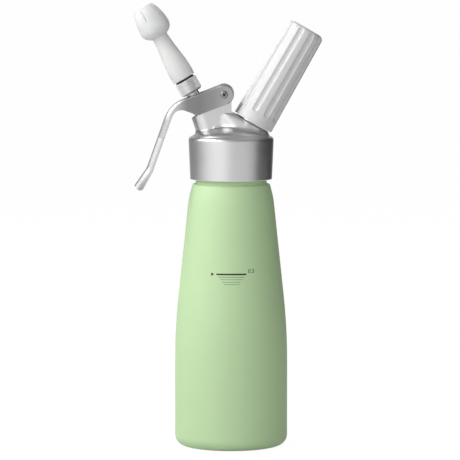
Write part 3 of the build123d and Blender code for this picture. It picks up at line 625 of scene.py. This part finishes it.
# The bottle's own aluminium, drawn and threaded: grey and satin.
BARE_ALUMINIUM = Finish(
    "aluminium_drawn_bare", BOTTLE_COAT.bare_colour, BOTTLE_COAT.bare_roughness, Grain.TURNED,
    grain_size=0.3 * MM, grain_depth=0.004 * MM, metallic=1.0, roughness_spread=0.04,
)
# Silicone, moulded: milky and soft.
SILICONE = Finish(
    "silicone_moulded", "#D9D8D2", 0.5, Grain.MOULDED, grain_size=0.5 * MM, ior=1.41, subsurface=0.3
)
# Steel, deep-drawn and zinc plated: grey, with a soft shine.
CHARGER_STEEL = Finish(
    "steel_drawn_zinc_plated", "#B9BABB", 0.27, Grain.DRAWN, grain_size=0.8 * MM,
    grain_depth=0.005 * MM, metallic=1.0, roughness_spread=0.05,
)
# Pad-printed ink: flat, dark green and nearly matt.
PRINT_INK = Finish(
    "ink_pad_printed", "#0F2606", 0.55, Grain.PEEL, grain_size=0.3 * MM, grain_depth=0.004 * MM
)

SLOT_FINISH: dict[str, Finish] = {
    "bottle_coating": BOTTLE_COAT,
    "cast_head": CAST_HEAD,
    "lever_sheet": LEVER_SHEET,
    "turned_steel": TURNED_STEEL,
    "spring_wire": SPRING_WIRE,
    "brass_nickel": NICKEL,
    "white_plastic": WHITE_MOULDED,
    "holder_plastic": HOLDER_MOULDED,
    "black_rubber": BLACK_RUBBER,
    "silicone": SILICONE,
    "charger_steel": CHARGER_STEEL,
}

NODE_FINISH: dict[str, Finish] = {"lever_pivot_screw": SCREW_STEEL}


class Finishes:
    """Builds each finish once and puts it on nodes and pieces."""

    def __init__(self) -> None:
        """Starts with nothing built."""
        self.built: dict[str, bpy.types.Material] = {}

    def of(self, finish: Finish) -> bpy.types.Material:
        """Finds a finish's material, and builds it the first time.

        Args:
            finish: the finish.

        Returns:
            Its Blender material.
        """
        if finish.name not in self.built:
            self.built[finish.name] = finish.build()
        return self.built[finish.name]

    def dress_nodes(self) -> None:
        """Gives every CAD node its own finish or that of its material slot."""
        for name, node in frame["nodes"].items():
            for slot in node.material_slots:
                slot_name = slot.material.name.split(".")[0]
                slot.material = self.of(NODE_FINISH.get(name, SLOT_FINISH[slot_name]))

    def dress(self, piece: bpy.types.Object, finish: Finish, body: str) -> None:
        """Gives a new piece its finish and its body.

        Args:
            piece: the new object.
            finish: what it is made of.
            body: the CAD body it rides on.
        """
        piece.data.materials.clear()
        piece.data.materials.append(self.of(finish))
        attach(piece, body)


# ---- sub-assemblies --------------------------------------------------------------------------
AXIS_TILT = 30.0
AXES_MEET = Vector((0, 0, 203.5 * MM))
NOZZLE = Matrix.Translation(AXES_MEET) @ Matrix.Rotation(radians(-AXIS_TILT), 4, "Y")
CHARGER = Matrix.Translation(AXES_MEET) @ Matrix.Rotation(radians(AXIS_TILT), 4, "Y")


@dataclass
class Thread:
    """A thread's ridge: one helix that sinks into its wall at both ends."""

    name: str
    root: float
    crest: float
    low: float
    high: float
    pitch: float
    place: Matrix = field(default_factory=Matrix)
    steps: int = 60
    sunk: float = 0.12 * MM
    # Halves of the ridge's section, as shares of the pitch.
    foot_half: float = 0.42
    crest_half: float = 0.14
    edge_angle: float = 40.0

    def build(self) -> bpy.types.Object:
        """Makes the ridge from one flat profile by a screw.

        Returns:
            The ridge, in place.
        """
        outward = 1 if self.crest > self.root else -1
        foot = self.root - outward * self.sunk
        deselect_all()
        bpy.ops.mesh.primitive_plane_add(size=1, location=(0, 0, 0), rotation=(pi / 2, 0, 0))
        ridge = name_active(self.name)
        bpy.ops.object.transform_apply(location=True, rotation=True, scale=True)
        corners = {
            (-1, -1): (foot, -self.foot_half),
            (-1, 1): (foot, self.foot_half),
            (1, -1): (self.crest, -self.crest_half),
            (1, 1): (self.crest, self.crest_half),
        }
        for vertex in ridge.data.vertices:
            radius, share = corners[(1 if vertex.co.x > 0 else -1, 1 if vertex.co.z > 0 else -1)]
            vertex.co = Vector((radius, 0, self.low + share * self.pitch))
        turns = max(1, round((self.high - self.low) / self.pitch))
        screw = ridge.modifiers.new("screw", "SCREW")
        screw.angle = 2 * pi
        screw.screw_offset = self.pitch
        screw.iterations = turns
        screw.steps = self.steps
        screw.render_steps = self.steps
        screw.use_merge_vertices = False
        apply_modifiers(ridge)
        self.sink_ends(ridge, turns)
        close_and_smooth(ridge, self.edge_angle)
        apply_place(ridge, self.place)
        return ridge

    def sink_ends(self, ridge: bpy.types.Object, turns: int) -> None:
        """Closes both ends and scales them into the wall.

        Args:
            ridge: the ridge, on Z.
            turns: its number of turns.
        """
        bpy.ops.object.mode_set(mode="EDIT")
        bpy.ops.mesh.select_all(action="DESELECT")
        bpy.ops.mesh.select_mode(type="EDGE")
        bpy.ops.mesh.select_non_manifold()
        bpy.ops.mesh.fill()
        bpy.ops.mesh.select_mode(type="VERT")
        bpy.ops.object.mode_set(mode="OBJECT")
        share = (self.root - (self.crest - self.root)) / self.root
        reach = (self.foot_half + self.crest_half / 4) * self.pitch
        for end in (self.low, self.low + turns * self.pitch):
            select_points(
                ridge,
                lambda at: abs(at.y) < 0.01 * MM and at.x > 0 and abs(at.z - end) < reach,
            )
            bpy.ops.transform.resize(value=(share, share, 1), center_override=(0, 0, 0))
            bpy.ops.object.mode_set(mode="OBJECT")


@dataclass
class Bottle:
    """The bottle's thread and its printed fill mark."""

    neck_root: float = 24.4 * MM
    neck_crest: float = 25.2 * MM
    thread_low: float = 194.0 * MM
    thread_high: float = 211.0 * MM
    thread_pitch: float = 3.2 * MM
    mark_z: float = 125.35 * MM
    mark_x: float = 0.15 * MM
    line_halves: tuple[float, ...] = (10.5 * MM, 9.0 * MM, 8.0 * MM, 6.4 * MM, 5.4 * MM)
    line_drops: tuple[float, ...] = (0.0, 2.0 * MM, 3.6 * MM, 5.4 * MM, 7.0 * MM)
    line_widths: tuple[float, ...] = (1.05 * MM, 0.26 * MM, 0.22 * MM, 0.22 * MM, 0.22 * MM)
    ink: float = 0.04 * MM
    line_steps: int = 28
    print_start: float = 60 * MM
    numeral_size: float = 3.78 * MM
    numeral_x: float = 11.8 * MM
    numeral_rise: float = 0.9 * MM
    arrow_x: float = -13.4 * MM
    arrow_size: float = 2.8 * MM
    edge_angle: float = 40.0

    def lay_on(self, piece: bpy.types.Object) -> None:
        """Lays a flat piece on the bottle's front and gives it the ink's thickness.

        Args:
            piece: a flat mesh in front of the bottle, in the XZ plane.
        """
        wrap = piece.modifiers.new("wrap", "SHRINKWRAP")
        wrap.target = frame["nodes"]["bottle"]
        wrap.wrap_method = "PROJECT"
        wrap.use_project_y = True
        wrap.use_positive_direction = True
        wrap.use_negative_direction = False
        wrap.use_project_x = False
        wrap.use_project_z = False
        wrap.offset = self.ink / 2
        wrap.wrap_mode = "ABOVE_SURFACE"
        thick = piece.modifiers.new("ink", "SOLIDIFY")
        thick.thickness = self.ink
        thick.offset = 0.0
        apply_modifiers(piece)
        close_and_smooth(piece, self.edge_angle)

    def lines(self) -> bpy.types.Object:
        """Makes the printed lines, one thick and a stack of thin ones below it.

        Returns:
            The lines as one piece.
        """
        made = []
        for half, drop, width in zip(self.line_halves, self.line_drops, self.line_widths):
            deselect_all()
            bpy.ops.mesh.primitive_grid_add(
                x_subdivisions=self.line_steps, y_subdivisions=2, size=1, rotation=(pi / 2, 0, 0)
            )
            line = bpy.context.active_object
            line.scale = (2 * half, width, 1)
            line.location = (self.mark_x, -self.print_start, self.mark_z - drop)
            bpy.ops.object.transform_apply(location=True, rotation=True, scale=True)
            made.append(line)
        for line in made:
            line.select_set(True)
        bpy.ops.object.join()
        piece = name_active("fill_mark_lines")
        self.lay_on(piece)
        return piece

    def numeral(self) -> bpy.types.Object:
        """Makes the plain numeral beside the thick line.

        Returns:
            The numeral as a mesh.
        """
        deselect_all()
        bpy.ops.object.text_add(
            location=(self.numeral_x, -self.print_start, self.mark_z + self.numeral_rise),
            rotation=(pi / 2, 0, 0),
        )
        text = bpy.context.active_object
        text.data.body = "0.5"
        text.data.size = self.numeral_size
        bpy.ops.object.convert(target="MESH")
        piece = name_active("fill_mark_numeral")
        bpy.ops.object.transform_apply(location=True, rotation=True, scale=True)
        bpy.ops.object.mode_set(mode="EDIT")
        bpy.ops.mesh.select_all(action="SELECT")
        bpy.ops.mesh.remove_doubles(threshold=5 * WELD)
        bpy.ops.mesh.quads_convert_to_tris()
        bpy.ops.object.mode_set(mode="OBJECT")
        self.lay_on(piece)
        return piece

    def arrow(self) -> bpy.types.Object:
        """Makes the small triangle that points at the thick line.

        Returns:
            The triangle.
        """
        deselect_all()
        bpy.ops.mesh.primitive_circle_add(
            vertices=3,
            radius=self.arrow_size / 2,
            fill_type="NGON",
            location=(self.arrow_x + self.mark_x, -self.print_start, self.mark_z),
            rotation=(pi / 2, pi / 2, 0),
        )
        piece = name_active("fill_mark_arrow")
        bpy.ops.object.transform_apply(location=True, rotation=True, scale=True)
        self.lay_on(piece)
        return piece

    def build(self, finishes: Finishes) -> None:
        """Makes the bottle's pieces and dresses them.

        Args:
            finishes: the shared finishes.
        """
        thread = Thread(
            "neck_thread", self.neck_root, self.neck_crest, self.thread_low, self.thread_high,
            self.thread_pitch,
        ).build()
        finishes.dress(thread, BARE_ALUMINIUM, "bottle")
        for piece in (self.lines(), self.numeral(), self.arrow()):
            finishes.dress(piece, PRINT_INK, "bottle")
            LOG.info("printed %s", piece.name)


@dataclass
class Head:
    """The head's own thread, and the cast blends between its dome and its two bosses.

    The valve's boss and the web are placed across X and up Z, and the charger's foot along its own axis.
    """

    bore: float = 26.3 * MM
    crest: float = 25.55 * MM
    thread_low: float = 192.6 * MM
    thread_high: float = 208.0 * MM
    thread_pitch: float = 3.2 * MM
    # (radius, height) in millimetres.
    dome: tuple[tuple[float, float], ...] = (
        (0, 217.2), (28.9, 217.2), (28.9, 219.2), (27.6, 220.45), (26.6, 221.45), (25.5, 222.4),
        (24.4, 223.0), (23.0, 223.6), (21.0, 224.3), (18.0, 225.3), (14.0, 226.5), (10.0, 227.7),
        (0, 229.7),
    )
    boss_half: float = 9.4 * MM
    boss_right: float = 0.29 * MM
    boss_inside: float = -14.0 * MM
    boss_low: float = 220.0 * MM
    web_left: float = -6.5 * MM
    web_top: float = 237.8 * MM
    foot_low: float = 12.0 * MM
    foot_low_r: float = 17.0 * MM
    foot_high: float = 30.0 * MM
    foot_high_r: float = 13.84 * MM
    web_on_foot: float = -2.5 * MM
    web_low: float = 21.0 * MM
    voxel: float = 0.55 * MM
    smoothing: int = 60
    sunk: float = 0.04 * MM
    # The rooms for the valve and the charger's valve body lie on their axes, the neck's on Z.
    valve_room: tuple[float, float] = (-12.0 * MM, 8.75 * MM)
    valve_room_half: float = 8.75 * MM
    valve_room_high: float = 60.0 * MM
    charger_room_r: float = 8.5 * MM
    charger_room_half: float = 40.0 * MM
    neck_room: tuple[float, float] = (120.0 * MM, 217.4 * MM)
    neck_room_r: float = 32.0 * MM
    edge_angle: float = 50.0

    def block(
        self, left: float, right: float, low: float, high: float, half: float
    ) -> bpy.types.Object:
        """Makes a block.

        Args:
            left: its left face.
            right: its right face.
            low: its underside.
            high: its top.
            half: half its depth.

        Returns:
            The block.
        """
        deselect_all()
        bpy.ops.mesh.primitive_cube_add(size=1, location=((left + right) / 2, 0, (low + high) / 2))
        block = name_active("block")
        block.scale = (right - left, 2 * half, high - low)
        bpy.ops.object.transform_apply(location=True, rotation=True, scale=True)
        return block

    def charger_foot(self, low: float) -> bpy.types.Object:
        """Makes the charger boss's outer cone.

        Args:
            low: where it starts along the charger's axis.

        Returns:
            The cone, up to just under the boss's top.
        """
        up = (low - self.foot_low) / (self.foot_high - self.foot_low)
        deselect_all()
        bpy.ops.mesh.primitive_cone_add(
            vertices=FINE_STEPS,
            radius1=self.foot_low_r + up * (self.foot_high_r - self.foot_low_r),
            radius2=self.foot_high_r,
            depth=self.foot_high - low,
        )
        foot = name_active("charger_foot")
        apply_place(foot, CHARGER @ Matrix.Translation((0, 0, (low + self.foot_high) / 2)))
        return foot

    def web(self) -> bpy.types.Object:
        """Makes the web in the hollow between the bosses.

        Returns:
            The hull of the bosses' near sides.
        """
        block = self.block(
            self.web_left, self.boss_right, self.boss_low, self.web_top, self.boss_half
        )
        foot = self.charger_foot(self.web_low)
        across = CHARGER.to_3x3() @ Vector((1, 0, 0))
        bpy.ops.object.mode_set(mode="EDIT")
        bpy.ops.mesh.select_all(action="SELECT")
        bpy.ops.mesh.bisect(
            plane_co=AXES_MEET + self.web_on_foot * across,
            plane_no=across,
            clear_outer=True,
            use_fill=True,
        )
        bpy.ops.object.mode_set(mode="OBJECT")
        block.select_set(True)
        bpy.ops.object.join()
        bpy.ops.object.mode_set(mode="EDIT")
        bpy.ops.mesh.select_all(action="SELECT")
        bpy.ops.mesh.convex_hull()
        bpy.ops.object.mode_set(mode="OBJECT")
        return foot

    def rooms(self) -> list[bpy.types.Object]:
        """Makes the rooms kept free for the valve, the charger's valve body and the neck.

        Returns:
            The three solids that are cut out of the blends.
        """
        valve = self.block(*self.valve_room, 0, self.valve_room_high, self.valve_room_half)
        apply_place(valve, NOZZLE)
        rooms = [valve]
        low, high = self.neck_room
        middle = Matrix.Translation((0, 0, (low + high) / 2))
        for radius, depth, place in (
            (self.charger_room_r, 2 * self.charger_room_half, CHARGER),
            (self.neck_room_r, high - low, middle),
        ):
            deselect_all()
            bpy.ops.mesh.primitive_cylinder_add(vertices=ROOM_STEPS, radius=radius, depth=depth)
            rooms.append(name_active("room"))
            apply_place(rooms[-1], place)
        return rooms

    def blends(self) -> bpy.types.Object:
        """Joins the outer forms, rounds their hollows and sinks the rest under the cast faces.

        Returns:
            The blends: only the filled hollows and the dome stand out of the head.
        """
        slab = self.block(
            self.boss_inside, self.boss_right, self.boss_low, self.web_top, self.boss_half
        )
        others = [slab, self.charger_foot(self.foot_low), self.web()]
        blends = lathe("cast_blends", [(r * MM, z * MM) for r, z in self.dome], FINE_STEPS)
        close_and_smooth(blends, 180)
        for other in others:
            other.select_set(True)
        bpy.ops.object.join()
        rooms = self.rooms()
        remesh = blends.modifiers.new("cells", "REMESH")
        remesh.mode = "VOXEL"
        remesh.voxel_size = self.voxel
        rounding = blends.modifiers.new("rounding", "SMOOTH")
        rounding.factor = 0.5
        rounding.iterations = self.smoothing
        sinking = blends.modifiers.new("sinking", "DISPLACE")
        sinking.mid_level = 0
        sinking.strength = -self.sunk
        for room in rooms:
            cut = blends.modifiers.new("room", "BOOLEAN")
            cut.operation = "DIFFERENCE"
            cut.object = room
        apply_modifiers(blends)
        for room in rooms:
            bpy.data.objects.remove(room)
        close_and_smooth(blends, self.edge_angle)
        return blends

    def build(self, finishes: Finishes) -> None:
        """Makes the thread in the collar and the blends.

        Args:
            finishes: the shared finishes.
        """
        thread = Thread(
            "collar_thread", self.bore, self.crest, self.thread_low, self.thread_high,
            self.thread_pitch,
        ).build()
        finishes.dress(thread, CAST_HEAD, "head")
        blends = self.blends()
        finishes.dress(blends, CAST_HEAD, "head")
        LOG.info("cut %s and blended %s", thread.name, blends.name)


@dataclass
class Lever:
    """The lever's sheet, with its shading carried over the seams of its bends."""

    seam_angle: float = 35.0

    def build(self, finishes: Finishes) -> None:
        """Makes the sheet from a merged copy of its node.

        Args:
            finishes: the shared finishes.
        """
        sheet = copy_of_node("lever", "pressed_lever")
        close_and_smooth(sheet, self.seam_angle)
        evened = sheet.modifiers.new("evened", "WEIGHTED_NORMAL")
        evened.keep_sharp = True
        apply_modifiers(sheet)
        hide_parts("lever")
        finishes.dress(sheet, LEVER_SHEET, "lever")
        LOG.info("smoothed %s", sheet.name)


@dataclass
class Valve:
    """The valve's spring, a smoothed copy of its node."""

    foot: float = 36.8 * MM
    kept_length: float = 0.6
    edge_angle: float = 50.0

    def build(self, finishes: Finishes) -> None:
        """Makes the spring from a merged copy of its node.

        Args:
            finishes: the shared finishes.
        """
        spring = copy_of_node("valve_spring", "coil_spring")
        close_and_smooth(spring, self.edge_angle)
        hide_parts("valve_spring")
        finishes.dress(spring, SPRING_WIRE, "head")
        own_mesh(spring)
        LOG.info("wound %s", spring.name)


@dataclass
class TipAdaptor:
    """The nut on the stem's end, with its straight knurl."""

    bore: float = 4.02 * MM
    radius: float = 8.0 * MM
    low: float = 55.02 * MM
    high: float = 65.02 * MM
    chamfer: float = 1.2 * MM
    top_chamfer: float = 0.4 * MM
    ridges: int = 54
    knurl_depth: float = 0.38 * MM
    edge_angle: float = 20.0

    def build(self, finishes: Finishes) -> None:
        """Spins the nut and presses the grooves of its knurl in.

        Args:
            finishes: the shared finishes.
        """
        profile = [
            (self.bore, self.low),
            (self.radius - self.chamfer, self.low),
            (self.radius, self.low + self.chamfer),
            (self.radius, self.high - self.top_chamfer),
            (self.radius - self.top_chamfer, self.high),
            (self.bore, self.high),
        ]
        columns = 4 * self.ridges
        nut = lathe("knurled_nut", profile, columns)
        close_and_smooth(nut, self.edge_angle)

        def in_groove(at: Vector) -> bool:
            """Tells whether a point is on the side and in the later half of its ridge's four columns."""
            column = round(atan2(at.y, at.x) / (2 * pi) * columns) % 4
            return at.xy.length > self.radius - 0.1 * self.chamfer and column in (2, 3)

        select_points(nut, in_groove)
        share = 1 - self.knurl_depth / self.radius
        bpy.ops.transform.resize(value=(share, share, 1), center_override=(0, 0, 0))
        bpy.ops.object.mode_set(mode="OBJECT")
        close_and_smooth(nut, self.edge_angle)
        apply_place(nut, NOZZLE)
        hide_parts("tip_adaptor")
        finishes.dress(nut, NICKEL, "piston")
        LOG.info("knurled %s", nut.name)


@dataclass
class ChargerSide:
    """The threads that hold the charger's holder down."""

    spigot_root: float = 9.8 * MM
    spigot_crest: float = 10.5 * MM
    insert_root: float = 11.5 * MM
    insert_crest: float = 10.85 * MM
    thread_low: float = 33.6 * MM
    thread_high: float = 41.6 * MM
    thread_pitch: float = 1.6 * MM

    def build(self, finishes: Finishes) -> None:
        """Makes the spigot's thread and the holder's.

        Args:
            finishes: the shared finishes.
        """
        spigot = Thread(
            "spigot_thread", self.spigot_root, self.spigot_crest, self.thread_low,
            self.thread_high, self.thread_pitch, CHARGER,
        ).build()
        finishes.dress(spigot, NICKEL, "head")
        insert = Thread(
            "insert_thread", self.insert_root, self.insert_crest, self.thread_low,
            self.thread_high, self.thread_pitch, CHARGER,
        ).build()
        finishes.dress(insert, NICKEL, "holder")
        LOG.info("cut %s and %s", spigot.name, insert.name)


# ---- studio ----------------------------------------------------------------------------------
@dataclass
class Studio:
    """The floor, the light tent round the object, the sky above it and the camera."""

    tent_radius: float = 0.75
    tent_height: float = 1.1
    floor_half: float = 30.0
    camera_distance: float = 2.3
    camera_height: float = 0.36017
    camera_x: float = -0.0008
    camera_pitch: float = 5.1346
    focal_length: float = 254.36
    sensor: float = 36.0
    sky_strength: float = 0.3
    floor_grey: str = "#B8B8B8"
    floor_glow: float = 1.2
    camera_white: float = 0.8
    # Heights between which the tent's low band turns into its high one.
    soft_edge: tuple[float, float] = (0.38, 0.52)
    # The roof glows at the left: across X, from bright to dark.
    roof_bright: float = 7.5
    roof_dark: float = 0.4
    roof_edge: tuple[float, float] = (-0.64, -0.42)
    # Brightness of the tent's cloth against the angle from the camera, to the right positive.
    tent_low: tuple[tuple[float, float], ...] = (
        (-180, 0.8), (-160, 0.6), (-144, 0.30), (-112, 0.38), (-88, 0.62), (-74, 0.9),
        (-55, 1.2), (-27, 1.34), (-13, 1.2), (-4, 0.86), (10, 0.76), (37, 0.76), (60, 0.58),
        (70, 0.30), (80, 0.09), (105, 0.05), (148, 0.05), (165, 0.6), (180, 0.8),
    )
    tent_high: tuple[tuple[float, float], ...] = (
        (-180, 0.6), (-125, 0.5), (-112, 1.4), (-98, 2.6), (-84, 3.2), (-46, 3.2), (-36, 2.0),
        (-24, 1.2), (-12, 0.6), (0, 0.4), (20, 0.38), (40, 0.45), (62, 0.45), (90, 0.14),
        (150, 0.08), (165, 0.5), (180, 0.6),
    )

    def white_to_camera(self, tree: bpy.types.NodeTree) -> bpy.types.NodeSocket:
        """Tells the rays that see the background from those that only light.

        Args:
            tree: a node tree of the world or the floor.

        Returns:
            1 for rays from the camera, from gloss and through glass, and 0 for diffuse ones.
        """
        path = add_node(tree, "ShaderNodeLightPath").outputs
        seen = add_node(
            tree, "ShaderNodeMath", {"operation": "ADD"}, {0: path["Is Camera Ray"], 1: path["Is Glossy Ray"]}
        )
        through = add_node(
            tree,
            "ShaderNodeMath",
            {"operation": "ADD", "use_clamp": True},
            {0: seen, 1: path["Is Transmission Ray"]},
        )
        return through.outputs["Value"]

    def world(self) -> None:
        """Makes the sky: white to the camera, soft light from above for the rest."""
        world = bpy.data.worlds.new("sky")
        bpy.context.scene.world = world
        tree = empty_tree(world)
        strength = add_node(
            tree,
            "ShaderNodeMapRange",
            inputs={"Value": self.white_to_camera(tree), "To Min": self.sky_strength, "To Max": 1.0},
        )
        background = add_node(
            tree, "ShaderNodeBackground", inputs={"Color": (1, 1, 1, 1), "Strength": strength}
        )
        add_node(tree, "ShaderNodeOutputWorld", inputs={"Surface": background})

    def floor(self) -> None:
        """Makes the plain pale floor, which keeps a faint shadow."""
        deselect_all()
        bpy.ops.mesh.primitive_plane_add(size=2 * self.floor_half, location=(0, 0, 0))
        floor = name_active("floor")
        material = bpy.data.materials.new("paper_white")
        tree = empty_tree(material)
        paper = add_node(tree, "ShaderNodeBsdfDiffuse", inputs={"Color": linear(self.floor_grey)})
        glow = add_node(
            tree, "ShaderNodeEmission", inputs={"Color": (1, 1, 1, 1), "Strength": self.floor_glow}
        )
        share = add_node(
            tree,
            "ShaderNodeMath",
            {"operation": "MULTIPLY"},
            {0: self.white_to_camera(tree), 1: self.camera_white},
        )
        either = add_node(tree, "ShaderNodeMixShader", inputs={0: share, 1: paper, 2: glow})
        add_node(tree, "ShaderNodeOutputMaterial", inputs={"Surface": either})
        floor.data.materials.append(material)

    def cloth(self) -> bpy.types.Material:
        """Makes the tent's cloth: two bands that glow by the angle round Z, and a roof.

        Returns:
            The glowing cloth.
        """
        material = bpy.data.materials.new("cloth_tent")
        tree = empty_tree(material)
        place = add_node(tree, "ShaderNodeTexCoord").outputs["Object"]
        x, y, z = add_node(tree, "ShaderNodeSeparateXYZ", inputs={0: place}).outputs
        toward = add_node(tree, "ShaderNodeMath", {"operation": "MULTIPLY"}, {0: y, 1: -1.0})
        angle = add_node(tree, "ShaderNodeMath", {"operation": "ARCTAN2"}, {0: x, 1: toward})
        turn = add_node(
            tree, "ShaderNodeMapRange", inputs={"Value": angle, "From Min": -pi, "From Max": pi}
        )
        low, high = [
            add_node(
                tree,
                "ShaderNodeValToRGB",
                inputs={"Fac": turn},
                stops=[(degrees / 360 + 0.5, level) for degrees, level in band],
            )
            for band in (self.tent_low, self.tent_high)
        ]
        rise = add_node(
            tree,
            "ShaderNodeMapRange",
            {"interpolation_type": "SMOOTHSTEP"},
            {"Value": z, "From Min": self.soft_edge[0], "From Max": self.soft_edge[1]},
        )
        both = add_node(tree, "ShaderNodeMixRGB", inputs={0: rise, 1: low, 2: high})
        roof = add_node(
            tree,
            "ShaderNodeMapRange",
            {"interpolation_type": "SMOOTHSTEP"},
            {
                "Value": x,
                "From Min": self.roof_edge[0],
                "From Max": self.roof_edge[1],
                "To Min": self.roof_bright,
                "To Max": self.roof_dark,
            },
        )
        on_roof = add_node(
            tree, "ShaderNodeMath", {"operation": "GREATER_THAN"}, {0: z, 1: self.tent_height - MM}
        )
        all_round = add_node(tree, "ShaderNodeMixRGB", inputs={0: on_roof, 1: both, 2: roof})
        cloth = add_node(tree, "ShaderNodeEmission", inputs={"Color": all_round})
        add_node(tree, "ShaderNodeOutputMaterial", inputs={"Surface": cloth})
        return material

    def tent(self) -> None:
        """Makes the light tent: a drum of cloth with a roof, which the camera sees through."""
        deselect_all()
        bpy.ops.mesh.primitive_cylinder_add(
            vertices=ROOM_STEPS,
            radius=self.tent_radius,
            depth=self.tent_height,
            end_fill_type="NOTHING",
            location=(0, 0, self.tent_height / 2),
        )
        tent = name_active("light_tent")
        bpy.ops.object.transform_apply(location=True, rotation=True, scale=True)
        select_points(tent, lambda at: at.z > self.tent_height / 2)
        bpy.ops.mesh.edge_face_add()
        bpy.ops.object.mode_set(mode="OBJECT")
        tent.data.materials.append(self.cloth())
        tent.visible_camera = False
        tent.visible_shadow = False

    def camera(self) -> None:
        """Makes the camera, a little above the object and looking slightly down."""
        data = bpy.data.cameras.new("camera")
        data.lens = self.focal_length
        data.sensor_width = self.sensor
        data.clip_end = 100.0
        camera = bpy.data.objects.new("camera", data)
        bpy.context.scene.collection.objects.link(camera)
        camera.location = (self.camera_x, -self.camera_distance, self.camera_height)
        camera.rotation_euler = (radians(90 - self.camera_pitch), 0, 0)
        bpy.context.scene.camera = camera

    def build(self) -> None:
        """Sets the whole studio up."""
        bpy.context.scene.view_settings.view_transform = "Standard"
        self.world()
        self.floor()
        self.tent()
        self.camera()


def main() -> None:
    """Builds the studio and the sub-assemblies in order."""
    logging.basicConfig(level=logging.INFO, format="%(name)s: %(message)s")
    Studio().build()
    finishes = Finishes()
    finishes.dress_nodes()
    for assembly in (Bottle(), Head(), Lever(), Valve(), TipAdaptor(), ChargerSide()):
        assembly.build(finishes)
        LOG.info("built %s", type(assembly).__name__)


if __name__ == "__main__":
    main()
